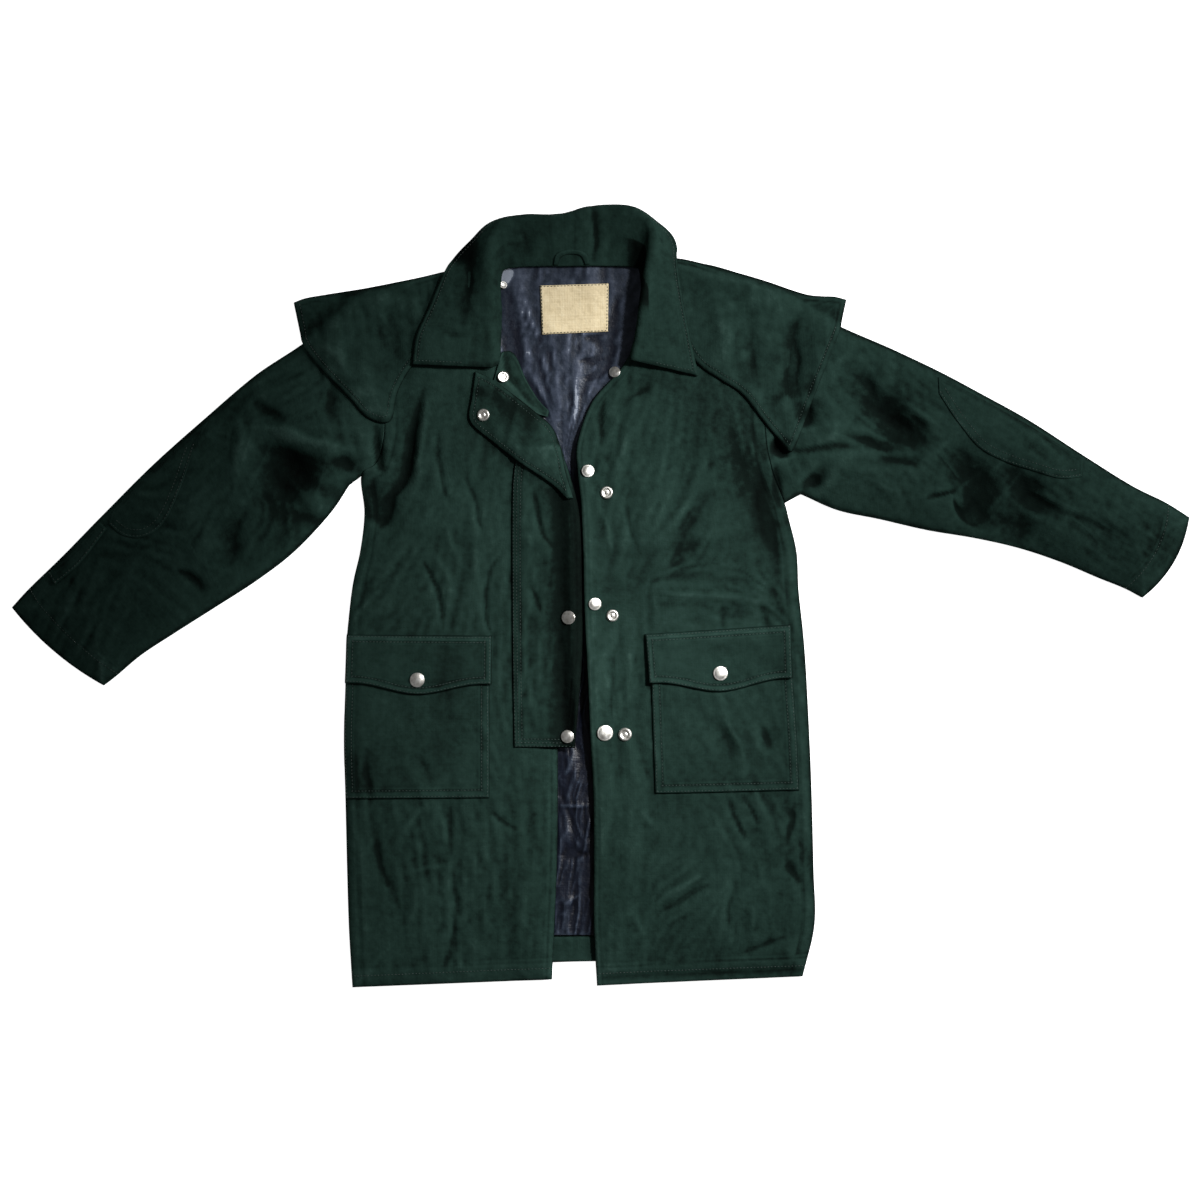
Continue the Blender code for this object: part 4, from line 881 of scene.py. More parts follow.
def lay(name):
    """Adds a finished piece to the pile."""
    box = np.array([vertex.co[:] for vertex in pieces[name].data.vertices])
    low_x, high_x = box[:, 0].min() / MM + PLAN_MIDDLE_X, box[:, 0].max() / MM + PLAN_MIDDLE_X
    low_y, high_y = PLAN_MIDDLE_Y - box[:, 1].max() / MM, PLAN_MIDDLE_Y - box[:, 1].min() / MM
    down = Vector((0, 0, -1))
    tree = trees[name]
    for row in np.nonzero((PILE_Y >= low_y) & (PILE_Y <= high_y))[0]:
        y = (PLAN_MIDDLE_Y - PILE_Y[row]) * MM
        for column in np.nonzero((PILE_X >= low_x) & (PILE_X <= high_x))[0]:
            x = (PILE_X[column] - PLAN_MIDDLE_X) * MM
            hit = tree.ray_cast(Vector((x, y, LOOK_FROM)), down)[0]
            if hit is not None and hit.z / MM > pile[row, column]:
                pile[row, column] = hit.z / MM


def draped_pile(spread=1, rounds=8):
    """Height map of taut cloth laid over the pile."""
    raised = pile.copy()
    for _ in range(spread):
        wide = np.pad(raised, 1, mode="edge")
        raised = np.max([wide[1:-1, 1:-1], wide[:-2, 1:-1], wide[2:, 1:-1], wide[1:-1, :-2],
                         wide[1:-1, 2:], wide[:-2, :-2], wide[2:, 2:], wide[:-2, 2:],
                         wide[2:, :-2]], axis=0)
    soft = raised
    for _ in range(rounds):
        soft = np.maximum(raised, blurred(soft, 1))
    return soft


def on_pile(grid, spread=1, rounds=8):
    """Heights at which a sheet on a plan grid clears the pile."""
    heights = draped_pile(spread, rounds)
    return sample_raster(heights, grid, PILE_X[0], PILE_Y[0], PILE_CELL) + GAP


print("pile raster:", pile.shape)

# %% [markdown]
# ## Materials
# The cloth is tightly woven cotton proofed with wax: deep bottle green, uneven, with slubs along
# warp and weft, pale where crests have rubbed, with painted shade in hollows and shaded places, and
# only a faint sheen. The lining is a thin blue-grey twill that catches more light, with painted
# highlights on the crests of its crinkles and painted shade between them. The studs are nickel and
# the label bare cream tape.


# %% Material helpers
def add_node(tree, kind, inputs=(), **settings):
    """Node with its settings and inputs; an input is a value or another node's output."""
    made = tree.nodes.new(kind)
    for name, value in settings.items():
        setattr(made, name, value)
    for socket, value in dict(inputs).items():
        if isinstance(value, bpy.types.NodeSocket):
            tree.links.new(value, made.inputs[socket])
        else:
            made.inputs[socket].default_value = value
    return made


def start_material(name):
    material = bpy.data.materials.new(name)
    material.use_nodes = True
    tree = material.node_tree
    return material, tree, tree.nodes["Principled BSDF"]


def noise(tree, vector, scale, detail=2.0, roughness=0.5, stretch=None):
    """Noise value over a vector, stretched along its axes where asked."""
    if stretch is not None:
        vector = add_node(tree, "ShaderNodeMapping", {"Vector": vector, "Scale": stretch}).outputs[0]
    made = add_node(tree, "ShaderNodeTexNoise",
                    {"Vector": vector, "Scale": scale, "Detail": detail, "Roughness": roughness})
    return made.outputs["Fac"]


def maths(tree, operation, first, second=0.0, third=0.0):
    """Result of a sum on values or other nodes' outputs."""
    return add_node(tree, "ShaderNodeMath", {0: first, 1: second, 2: third},
                    operation=operation).outputs[0]


def ramp(tree, factor, stops):
    """Colour ramp through (position, colour) stops."""
    made = add_node(tree, "ShaderNodeValToRGB", {"Fac": factor})
    elements = made.color_ramp.elements
    while len(elements) < len(stops):
        elements.new(0.5)
    for element, (position, colour) in zip(elements, stops):
        element.position = position
        element.color = (*colour, 1.0)
    return made.outputs["Color"]


# Share of the colour ramp below the plain cloth's range, for places with painted shade.
DARK_SHARE = 0.45
# How far each layer of unevenness moves the colour along its ramp, and its depth in the fine relief.
COLOUR_SPREAD = {"patches": 0.9, "wrinkle": 0.12, "mottle": 0.32, "speck": 0.6}
BUMP_DEPTH = {"mottle": 2.2, "crinkle": 2.0, "wrinkle": 1.6}
THREAD_STRETCH = (14.0, 620.0, 1.0)


def woven(name, stops, roughness, slub=0.07, wear_and_light_share=0.4, sheen=0.0, bump=0.6, specular=0.08):
    """Woven cloth: patches, slubs along both threads, crests rubbed pale, painted shade in hollows, fine
    weave.
    """
    material, tree, shader = start_material(name)
    spot = add_node(tree, "ShaderNodeTexCoord").outputs["Object"]
    grain = add_node(tree, "ShaderNodeUVMap", uv_map="grain").outputs["UV"]
    wear_and_painted_light = add_node(tree, "ShaderNodeAttribute", attribute_name="wear_and_painted_light").outputs["Fac"]
    wrinkle = add_node(tree, "ShaderNodeTexNoise", {"Vector": spot, "Scale": 42.0, "Detail": 5.0,
                                                    "Roughness": 0.55, "Distortion": 0.6},
                       noise_type="RIDGED_MULTIFRACTAL").outputs["Fac"]
    layers = {"patches": noise(tree, spot, 9.0, 4.0, 0.6), "wrinkle": wrinkle,
              "mottle": noise(tree, spot, 55.0, 3.0, 0.6), "speck": noise(tree, spot, 170.0, 2.0, 0.6),
              "crinkle": noise(tree, spot, 120.0, 3.0, 0.55)}
    weft = noise(tree, grain, 1.0, 2.0, 0.5, THREAD_STRETCH)
    warp = noise(tree, grain, 1.0, 2.0, 0.5, (THREAD_STRETCH[1], THREAD_STRETCH[0], 1.0))
    threads = maths(tree, "ADD", weft, warp)
    base = maths(tree, "MULTIPLY_ADD", threads, slub, 0.5 - slub)
    for layer, spread in COLOUR_SPREAD.items():
        moved = maths(tree, "MULTIPLY_ADD", layers[layer], spread, -spread / 2)
        base = maths(tree, "ADD", base, moved)
    # Rubbed crests turn pale, and painted shade and painted highlights move the colour.
    base = maths(tree, "MULTIPLY_ADD", wear_and_painted_light, wear_and_light_share, base)
    base = maths(tree, "MULTIPLY_ADD", base, 1 - DARK_SHARE, DARK_SHARE)
    tree.links.new(ramp(tree, base, stops), shader.inputs["Base Color"])
    shader.inputs["Roughness"].default_value = roughness
    shader.inputs["Specular IOR Level"].default_value = specular
    shader.inputs["Sheen Weight"].default_value = sheen
    shader.inputs["Sheen Roughness"].default_value = 0.4
    fine = noise(tree, spot, 420.0, 2.0, 0.6)
    height = maths(tree, "MULTIPLY", maths(tree, "ADD", threads, fine), 0.5)
    for layer, depth in BUMP_DEPTH.items():
        height = maths(tree, "MULTIPLY_ADD", layers[layer], depth, height)
    relief_bump = add_node(tree, "ShaderNodeBump",
                           {"Height": height, "Strength": bump, "Distance": 0.0006})
    tree.links.new(relief_bump.outputs["Normal"], shader.inputs["Normal"])
    return material


# The lowest stops of these ramps are the colours of painted shade; the upper stops of BLUE_GREY give the
# painted highlights on the lining's crinkles and the colour of its pale patch.
GREEN = [(0.0, (0.0017, 0.0020, 0.0019)), (0.45, (0.0048, 0.0092, 0.0076)),
         (0.67, (0.0110, 0.0248, 0.0200)), (0.86, (0.0163, 0.0358, 0.0292)),
         (1.0, (0.0255, 0.0515, 0.0430))]
# The cape's cloth is the same cloth made a little darker, as painted shade.
CAPE_GREEN_SHADED = [(position, tuple(value * 0.95 for value in colour)) for position, colour in GREEN]
BLUE_GREY = [(0.0, (0.0010, 0.0013, 0.0032)), (0.45, (0.005, 0.007, 0.014)),
             (0.64, (0.015, 0.021, 0.033)), (0.81, (0.036, 0.046, 0.069)),
             (0.97, (0.072, 0.087, 0.122)), (1.0, (0.230, 0.258, 0.310))]
CREAM = [(0.45, (0.44, 0.35, 0.20)), (0.72, (0.66, 0.55, 0.35)), (1.0, (0.78, 0.70, 0.50))]


# How far rubbed wear, painted shade and painted highlights move the cloth's colour.
WEAR_AND_LIGHT_SHARE = 0.36
cloth = woven("waxed_cotton", GREEN, 0.62, slub=0.1, wear_and_light_share=WEAR_AND_LIGHT_SHARE, specular=0.0)
shaded_cape_cloth = woven("waxed_cotton_cape_shaded", CAPE_GREEN_SHADED, 0.62, slub=0.1, wear_and_light_share=WEAR_AND_LIGHT_SHARE, specular=0.0)
# On the lining the crests of the crinkles take painted highlights and its hollows painted shade.
lining = woven("lining_twill", BLUE_GREY, 0.42, slub=0.08, wear_and_light_share=0.56, sheen=0.03, specular=0.2)
label_tape = woven("label_tape", CREAM, 0.8, slub=0.5, wear_and_light_share=0.2, specular=0.2)
print("materials:", [item.name for item in (cloth, shaded_cape_cloth, lining, label_tape)])


# %% Nickel and thread
def make_nickel():
    """Nickel plate with fine scratches and a dull patina."""
    material, tree, shader = start_material("nickel")
    spot = add_node(tree, "ShaderNodeTexCoord").outputs["Object"]
    cloud = noise(tree, spot, 260.0, 3.0, 0.6)
    tree.links.new(ramp(tree, cloud, [(0.3, (0.60, 0.58, 0.52)), (0.7, (0.95, 0.94, 0.90))]),
                   shader.inputs["Base Color"])
    tree.links.new(maths(tree, "MULTIPLY_ADD", cloud, 0.25, 0.28), shader.inputs["Roughness"])
    shader.inputs["Metallic"].default_value = 1.0
    return material


def make_thread():
    """Twisted sewing thread, a shade paler than the cloth."""
    material, tree, shader = start_material("sewing_thread")
    spot = add_node(tree, "ShaderNodeTexCoord").outputs["Object"]
    tree.links.new(ramp(tree, noise(tree, spot, 900.0), [(0.3, (0.007, 0.018, 0.014)),
                                                        (0.7, (0.013, 0.033, 0.027))]),
                   shader.inputs["Base Color"])
    shader.inputs["Roughness"].default_value = 0.55
    return material


nickel = make_nickel()
thread = make_thread()
print("materials:", nickel.name, thread.name)

# %% [markdown]
# ## Back, lining and label
# The bottom layers show in the opening, at the hem and from below. The lining is thin and was
# pulled towards the chest, so its crinkles run down from the neck and meet there.

# %% Back layers
stitch_rows = {}


def sew(carrier, line):
    """Notes a row of stitches along plan points on a piece."""
    stitch_rows.setdefault(carrier, []).append(np.asarray(line, float))


def beside(line, distance):
    """A line moved sideways, to the right of its direction as seen on the table."""
    along = np.gradient(line, axis=0)
    along /= np.linalg.norm(along, axis=1)[:, None]
    return line + distance * np.stack([-along[:, 1], along[:, 0]], axis=1)


HIDDEN_CELL = 6.0
cape_back_grid = fine_grid(*band_lines(CAPE_BACK), cell=HIDDEN_CELL)
panel("cape_back", cape_back_grid,
      0.2 * over_grid(lambda p: crumple(p, BACK_SEED), cape_back_grid), CLOTH, shaded_cape_cloth)

back_sides = (side_lines(FRONT_RIGHT)[0], side_lines(FRONT_LEFT)[0])
back_grid = fine_grid(*back_sides, cell=HIDDEN_CELL)
BACK_NECK_RISE = 31.0
NECK_SHARE = 0.28
HEM_RISE = 20.0
HEM_SHARE = 0.1
back_shares = np.linspace(0, 1, back_grid.shape[1])
arch = 4 * back_shares * (1 - back_shares)
down_share = np.linspace(0, 1, back_grid.shape[0])
towards_neck = smooth_step((down_share - 1 + NECK_SHARE) / NECK_SHARE)[:, None]
towards_hem = smooth_step(1 - down_share / HEM_SHARE)[:, None]
back_grid[:, :, 1] -= (BACK_NECK_RISE * towards_neck + HEM_RISE * towards_hem) * arch
panel("back_panel", back_grid, over_grid(back_height, back_grid), CLOTH, cloth)


LINING_MEETS = np.array([563.0, 468.0])


def lining_crinkle(points):
    """Crinkles of the lining: rays that meet at the chest, and tucks down the centre."""
    away = points - LINING_MEETS
    reach = np.linalg.norm(away, axis=1)
    turn = np.degrees(np.arctan2(away[:, 0], -away[:, 1]))
    polar = np.stack([turn + 5 * lattice_noise(points, 60, 75), reach], axis=1)
    rays = crests(polar * [1.0, 0.045], 4.6, 71) ** 2 + 0.6 * crests(polar * [1.0, 0.09], 2.3, 72)
    wide = lattice_noise(polar * [1.0, 0.1], 11.0, 74)
    upright = np.stack([points[:, 0] + 10 * lattice_noise(points, 45, 76), points[:, 1]], axis=1)
    down = crests(upright * [1.0, 0.13], 7, 77) ** 2 + 0.5 * crests(upright * [1.0, 0.25], 3.6, 78)
    neck = smooth_step((480 - points[:, 1]) / 40)
    rough = neck * (0.9 * rays + 1.6 * wide) * np.clip(reach / 80, 0.25, 1)
    rough += (1 - neck) * (1.7 * down + 1.2 * lattice_noise(upright * [1.0, 0.3], 16, 79))
    return np.maximum(rough + fold_height(points, LINING_FOLDS), 0)


LINING_FOLDS = np.array([
    (497, 280, -3, 521, 372, 5, -5, 1), (504, 300, 0, 514, 372, 4, 1.6, 0),
    (614, 350, 0, 584, 336, 2.6, -3.4, 0), (613, 356, 0, 580, 364, 2.6, -3.4, 0),
    (614, 361, 0, 584, 384, 2.6, -3, 0), (520, 372, 0, 548, 420, 4, -2.4, 0),
    (557, 806, 1, 592, 806, 3, 2.2, 0), (557, 853, 1, 592, 853, 4, -2.2, 0),
    (562, 906, 0, 578, 892, 3, 1.8, 0), (571, 750, 0, 566, 778, 4, 2.4, 0),
    (590, 806, 0, 583, 860, 2.5, 2.4, 0), (560, 780, 0, 574, 850, 4, -1.5, 0),
    (580, 870, 0, 572, 930, 4, -1.5, 0), (545, 340, 0, 560, 430, 4, 1.2, 0),
    (585, 340, 0, 570, 430, 4, 1.2, 0), (620, 290, 0, 600, 380, 5, -1.5, 0),
], dtype=FOLD)


LINING_SHADES = np.array([(-0.75, 0, 0, 450, 60), (-0.8, 581, 10, 480, 60)], dtype=SHADE)
LINING_VALLEY_SHARE = 2.0
PALE_PATCH = 3.0
PALE_PATCH_MIDDLE = np.array([505.0, 273.0])
PALE_PATCH_HALF = np.array([8.0, 9.0])

lining_grid = fine_grid(*band_lines(LINING_STRIP), cell=FINE_CELL)
lining_rise = over_grid(lining_crinkle, lining_grid)
lining_shade = shaded(lining_grid, LINING_SHADES)
lining_shade += LINING_VALLEY_SHARE * over_grid(lambda p: hollow(p, LINING_FOLDS), lining_grid)
patch_distance = np.linalg.norm((lining_grid - PALE_PATCH_MIDDLE) / PALE_PATCH_HALF, axis=2)
lining_shade += PALE_PATCH * np.exp(-patch_distance ** 4)
panel("back_lining", lining_grid, over_grid(lining_height, lining_grid), LINING, lining, lining_rise,
      lining_shade)
facing_grid = fine_grid(*band_lines(HEM_FACING))
panel("hem_facing", facing_grid, over_grid(lining_height, facing_grid), LINING, cloth)
for name in ("cape_back", "back_panel", "back_lining", "hem_facing"):
    lay(name)
SMALL_CELL = 1.6
TAPE = 0.9
label_grid = fine_grid(*band_lines(LABEL), cell=SMALL_CELL)
panel("label", label_grid, on_pile(label_grid, 1, 20), TAPE, label_tape)
label_rim = outline_of(label_grid[1:-1, 1:-1])
sew("label", np.vstack([label_rim, label_rim[:1]]))
print("back layers:", [name for name in pieces])

# %% [markdown]
# ## Fronts and sleeves
# The two fronts and the upper walls of the sleeves share one height, so the armhole seams meet. A
# sleeve is a flat tube: an outer and an inner loop at every station.


# %% Fronts
HEM_WIDTH = 20.0
CUFF_WIDTH = 24.0
SIDE_SEAM = 12.0
HEM_DARK = 0.6


def make_front(side):
    grid = FRONT_PLANS[side]
    flat = grid.reshape(-1, 2)
    hem_distance = distance_to(flat, grid[0])
    edge_distance = distance_to(flat, grid[:, -1])
    side_distance = distance_to(flat, grid[:, 0])
    extra = hem(hem_distance, HEM_WIDTH, 0.8) + hem(edge_distance, 6.0, 0.4)
    extra -= 0.5 * np.exp(-((side_distance - SIDE_SEAM) / 2.0) ** 2)
    panel("front_" + side, grid, over_grid(upper_height, grid), CLOTH, cloth,
          extra.reshape(grid.shape[:2]),
          over_grid(lambda p: hollow(p, FOLDS) + painted_shade(p) + painted_side_shade(p), grid)
          + HEM_DARK * seam_shade_lines(hem_distance, HEM_WIDTH).reshape(grid.shape[:2]))
    sew("front_" + side, resampled(np.array([grid[6, k] for k in range(2, grid.shape[1] - 2)]),
                                   np.linspace(0, 1, 80)))
    lay("front_" + side)


for side in ("right", "left"):
    make_front(side)
print("fronts:", [len(pieces["front_" + side].data.polygons) for side in ("right", "left")])


# %% Sleeves
SLEEVE_EDGE_BULGE = 1.1


def make_sleeve(side):
    grid = SLEEVE_PLANS[side]
    stations, count = grid.shape[:2]
    width = np.linalg.norm(grid[:, -1] - grid[:, 0], axis=1)
    centre = grid[:, count // 2][:, None]
    inner = centre + (grid - centre) * (1 - 2 * CLOTH / width)[:, None, None]
    cuff_distance = distance_to(grid.reshape(-1, 2), grid[-1]).reshape(stations, count)
    seam_distance = distance_to(grid.reshape(-1, 2), grid[0]).reshape(stations, count)
    extra = hem(cuff_distance, CUFF_WIDTH, 0.7) - 0.6 * np.exp(-(seam_distance / 3.0) ** 2)
    upper = over_grid(upper_height, grid)
    lower = over_grid(back_height, grid)
    outer_top = np.maximum(upper + CLOTH, lower + 2 * CLOTH + GAP) + extra.clip(-0.4, 2)
    inner_low = over_grid(back_height, inner) + CLOTH
    inner_top = np.maximum(over_grid(upper_height, inner), inner_low + GAP)
    outer_top = np.maximum(outer_top, inner_top + 0.8 * CLOTH)
    outward = SLEEVE_EDGE_BULGE * (grid[:, 0] - grid[:, -1]) / width[:, None]
    middle = (outer_top + lower) / 2
    over_side = np.concatenate([grid[:, 0] + outward, middle[:, :1]], axis=1)
    under_side = np.concatenate([grid[:, -1] - outward, middle[:, -1:]], axis=1)
    outer = np.concatenate([np.dstack([grid, outer_top]), under_side[:, None],
                            np.dstack([grid, lower])[:, ::-1], over_side[:, None]], axis=1)
    top, low = np.dstack([inner, inner_top]), np.dstack([inner, inner_low])
    near, far = (top[:, :1] + low[:, :1]) / 2, (top[:, -1:] + low[:, -1:]) / 2
    inside = np.concatenate([top, far, low[:, ::-1], near], axis=1)
    loop = outer.shape[1]
    corner = np.arange(stations * loop).reshape(stations, loop)
    after = np.roll(corner, -1, axis=1)
    quads = np.stack([corner[:-1], after[:-1], after[1:], corner[1:]], axis=-1).reshape(-1, 4)
    start = stations * loop
    ends = [np.stack([corner[k], after[k], after[k] + start, corner[k] + start], axis=1)
            for k in (0, -1)]
    faces = np.concatenate([quads, quads + start, *ends]).tolist()
    grain = grain_of(outer).reshape(-1, 2)
    raised = np.zeros(corner.shape)
    raised[:, :count] = relief_of(outer_top)
    raised[:, :count] += over_grid(lambda p: hollow(p, FOLDS) + painted_shade(p), grid)
    corners = np.vstack([outer.reshape(-1, 3), inside.reshape(-1, 3)])
    finish_mesh("sleeve_" + side, corners, faces, cloth, np.vstack([grain, grain]),
                np.concatenate([raised.ravel(), 0 * raised.ravel()]))
    lay("sleeve_" + side)
    inland = int(round(CUFF_WIDTH / CELL))
    sew("sleeve_" + side, grid[-1 - inland, 1:-1])


for side in ("right", "left"):
    make_sleeve(side)
print("sleeves:", [len(pieces["sleeve_" + side].data.polygons) for side in ("right", "left")])

# %% [markdown]
# ## Pockets, storm flap and lapel
# Patch pockets are sewn on three sides with two rows of stitches, and each flap dips to its stud.
# The storm flap runs down the right front; its upper corner is turned back as a lapel.


# %% Pockets
def border_distance(grid):
    """Distance of each grid point from the nearest edge of its piece."""
    return distance_to(grid.reshape(-1, 2), outline_of(grid), closed=True).reshape(grid.shape[:2])


def inset_border(grid, distance, sides):
    """Lines beside the named edges of a grid, the distance inside them."""
    edges = {"first": grid[0], "end": grid[:, -1], "last": grid[-1, ::-1], "start": grid[::-1, 0]}
    lines = []
    for side in sides:
        line = resampled(edges[side], np.linspace(0, 1, 60))
        moved = beside(line, distance)
        outline = outline_of(grid)
        if (signed_distance(moved[20:40], outline) > 0).all():
            moved = beside(line, -distance)
        lines.append(moved[signed_distance(moved, outline) < -0.8 * distance])
    return [line for line in lines if len(line) > 3]


POCKET_ROWS = (2.0, 8.0)
FLAP_ROWS = (2.0, 7.0)
FLAP_CURL = 1.6


def make_pocket(side):
    bag = fine_grid(*band_lines(POCKET_BAGS[side]), cell=FINE_CELL)
    distance = border_distance(bag)
    panel("pocket_" + side, bag, on_pile(bag, 0, 2), CLOTH, cloth, hem(distance, POCKET_ROWS[1], 0.7, 0.5),
          over_grid(lambda p: painted_side_shade(p) + painted_shade(p), bag) + seam_shade_lines(distance, POCKET_ROWS[1]))
    for inset in POCKET_ROWS:
        for line in inset_border(bag, inset, ("end", "last", "start")):
            sew("pocket_" + side, line)
    lay("pocket_" + side)
    flap = fine_grid(*band_lines(POCKET_FLAPS[side]), cell=FINE_CELL)
    shares = np.linspace(0, 1, flap.shape[1])
    down = np.linspace(0, 1, flap.shape[0])
    flap[:, :, 1] += FLAP_DIP * down[:, None] ** 2 * smooth_step(1 - np.abs(2 * shares - 1) * 1.15)
    distance = border_distance(flap)
    curl = FLAP_CURL * down[:, None] ** 4 * np.abs(2 * shares - 1) ** 1.5
    panel("pocket_flap_" + side, flap, on_pile(flap, 1, 6) + curl, DOUBLE_CLOTH, cloth,
          hem(distance, FLAP_ROWS[1], 0.5, 0.5),
          over_grid(lambda p: painted_side_shade(p) + painted_shade(p), flap) + seam_shade_lines(distance, FLAP_ROWS[1]))
    for inset in FLAP_ROWS:
        for line in inset_border(flap, inset, ("first", "end", "last", "start")):
            sew("pocket_flap_" + side, line)
    lay("pocket_flap_" + side)


for side in ("right", "left"):
    make_pocket(side)
print("pockets laid")

# %% Storm flap, neck corner and lapel
STORM_SHADES = np.array([(-0.4, 520, 45, 460, 50), (-2.3, 538, 50, 460, 50)], dtype=SHADE)
TAUT_FROM, TAUT_REACH = 530.0, 20.0
STORM_ROWS = (1.5, 5.0, 8.5)
storm = fine_grid(*band_lines(STORM_FLAP), cell=FINE_CELL)
storm_flat = storm.reshape(-1, 2)
storm_border = border_distance(storm)
taut = smooth_step((storm[:, :, 0] - TAUT_FROM) / TAUT_REACH)
storm_height = on_pile(storm, 0, 4) * (1 - taut) + on_pile(storm, 7, 40) * taut
storm_seam = distance_to(storm_flat, storm[:, 0]).reshape(storm.shape[:2])
storm_extra = hem(storm_border, STORM_ROWS[1], 0.3, 0.45) - 0.5 * np.exp(-(storm_seam / 5.0) ** 2)
storm_extra -= 0.4 * np.exp(-((storm_seam - 9.0) / 1.6) ** 2)
storm_rough = (0.8 * crumple(storm_flat) + fold_height(storm_flat, FOLDS)).reshape(storm_height.shape)
storm_rough *= 1 - np.exp(-storm_border / 6)
storm_dark = shaded(storm, STORM_SHADES) + over_grid(painted_shade, storm) + seam_shade_lines(storm_border, 8.0)
panel("storm_flap", storm, storm_height + storm_rough, CLOTH, cloth, storm_extra, storm_dark)
for inset in STORM_ROWS:
    for line in inset_border(storm, inset, ("start", "last")):
        sew("storm_flap", line)
lay("storm_flap")

corner_grid = fine_grid(*band_lines(NECK_CORNER), cell=FINE_CELL)
panel("neck_corner", corner_grid, on_pile(corner_grid, 1, 6), CLOTH, cloth,
      hem(border_distance(corner_grid), 3.0, 0.3, 0.3))
lay("neck_corner")

LAPEL_RISE = 1.5
LAPEL_LIFT = 0.6
LAPEL_ROW = 5.0
# Painted shade along the lapel's upper edge and its top corner.
LAPEL_PAINTED_SHADE = np.array([(486, 386, 0, 552, 440, 12, -12, 0), (482, 384, 0, 480, 402, 8, -9, 0)],
                      dtype=FOLD)
lapel = fine_grid(*band_lines(LAPEL), cell=FINE_CELL)
lapel_flat = lapel.reshape(-1, 2)
lapel_border = border_distance(lapel)
lapel_height = on_pile(lapel, 1, 16)
lapel_rough = (LAPEL_RISE + 0.8 * crumple(lapel_flat)).reshape(lapel_height.shape)
lapel_rough *= 1 - np.exp(-lapel_border / 8)
panel("lapel", lapel, lapel_height + lapel_rough + LAPEL_LIFT, DOUBLE_CLOTH, cloth,
      hem(lapel_border, LAPEL_ROW, 0.4, 0.4),
      over_grid(lambda p: painted_shade(p, LAPEL_PAINTED_SHADE, SMALL_PIECE_SHADE_SHARE), lapel)
      + seam_shade_lines(lapel_border, LAPEL_ROW))
for line in inset_border(lapel, LAPEL_ROW, ("first", "end", "last", "start")):
    sew("lapel", line)
lay("lapel")
print("storm flap and lapel laid")

# %% [markdown]
# ## Cape and collar
# The cape's front halves fall over the sleeve heads. The collar stands at the back of the neck and
# folds over at both sides: every section climbs from the neck seam to the roll and comes down to
# the outer edge, where it rests on the cape.

# %% Cape fronts
CAPE_CELL = 2.6
CAPE_RISE = 3.0
EDGE_ROW = 6.0
for name, table in (("cape_right", CAPE_RIGHT), ("cape_left", CAPE_LEFT)):
    grid = fine_grid(*band_lines(table), cell=CAPE_CELL)
    distance = border_distance(grid)
    inland = 1 - np.exp(-distance / FOLD_REACH)
    rough = fold_height(grid.reshape(-1, 2), CAPE_FOLDS) + 0.8 * crumple(grid.reshape(-1, 2))
    rise = np.maximum(CAPE_RISE * inland + rough.reshape(distance.shape) * inland, 0)
    panel(name, grid, on_pile(grid, 1, 24) + rise, CLOTH, shaded_cape_cloth,
          hem(distance, EDGE_ROW, 0.5, 0.5),
          over_grid(lambda p: hollow(p, CAPE_FOLDS) + painted_side_shade(p), grid)
          + seam_shade_lines(distance, EDGE_ROW))
    for line in inset_border(grid, EDGE_ROW, ("end", "last") if name == "cape_right" else ("end",)):
        sew(name, line)
    lay(name)
print("cape laid")


# %% Collar
COLLAR_FOLDS = np.array([
    (594, 208, 0, 595, 264, 3, -3.5, -1), (471, 236, 0, 467, 332, 8, -5, 1),
    (484, 240, 0, 487, 300, 6, 2, 0), (530, 222, 0, 524, 262, 8, -1.8, 0),
    (560, 222, 0, 566, 262, 10, 1.5, 0), (430, 330, 0, 478, 336, 5, -1.2, 0),
    (668, 262, 0, 672, 330, 7, 1.5, 0), (660, 330, 0, 690, 352, 5, -1.2, 0),
], dtype=FOLD)

# Painted shade on the collar's leaves and on its standing part at the back.
COLLAR_PAINTED_SHADE = np.array([
    (474, 236, 0, 467, 335, 8, -8, 0), (462, 236, 0, 452, 264, 11, -12, 0),
    (486, 220, 0, 462, 262, 10, -9, 0), (692, 330, 0, 686, 366, 6, -2, 0),
    (595, 212, 0, 595, 262, 4, -5, 0), (535, 224, 0, 515, 262, 12, -3, 0),
    (505, 224, 0, 570, 226, 8, -3, 0), (440, 345, 0, 480, 352, 9, -2, 0),
    (452, 280, 0, 444, 346, 24, -2.4, 0),
], dtype=FOLD)


# Shades of the collar's standing part inside the roll, and of its leaf outside.
STAND_SHADES = np.array([(-2.6, 622, 14, 318, -20), (-0.45, 540, -30, 0, 0)], dtype=SHADE)
LEAF_SHADES = np.array([(-0.9, 486, -16, 272, -20)], dtype=SHADE)
COLLAR_GIRTH = 95.0
COLLAR_CELL = 3.0
LEAF_FROM = 0.45
TURN_FROM, TURN_REACH = 0.36, 0.03


def collar_lines():
    """The collar's seam, roll and outer edge, with points opposite each other, and their shares."""
    seam, roll, outer = [through_rows(columns_of(COLLAR_BAND, names), SMOOTH) for names in (
        ("seam_x", "seam_y"), ("roll_x", "roll_y", "roll_z"), ("outer_x", "outer_y"))]
    shares = spaced(line_length(outer), COLLAR_CELL)
    pace = np.linspace(0, 1, len(outer))
    length = paces(outer)
    at = np.interp(shares * length[-1], length, pace)
    return shares, *[np.stack([np.interp(at, pace, line[:, k]) for k in range(line.shape[1])], 1)
                     for line in (seam, roll, outer)]


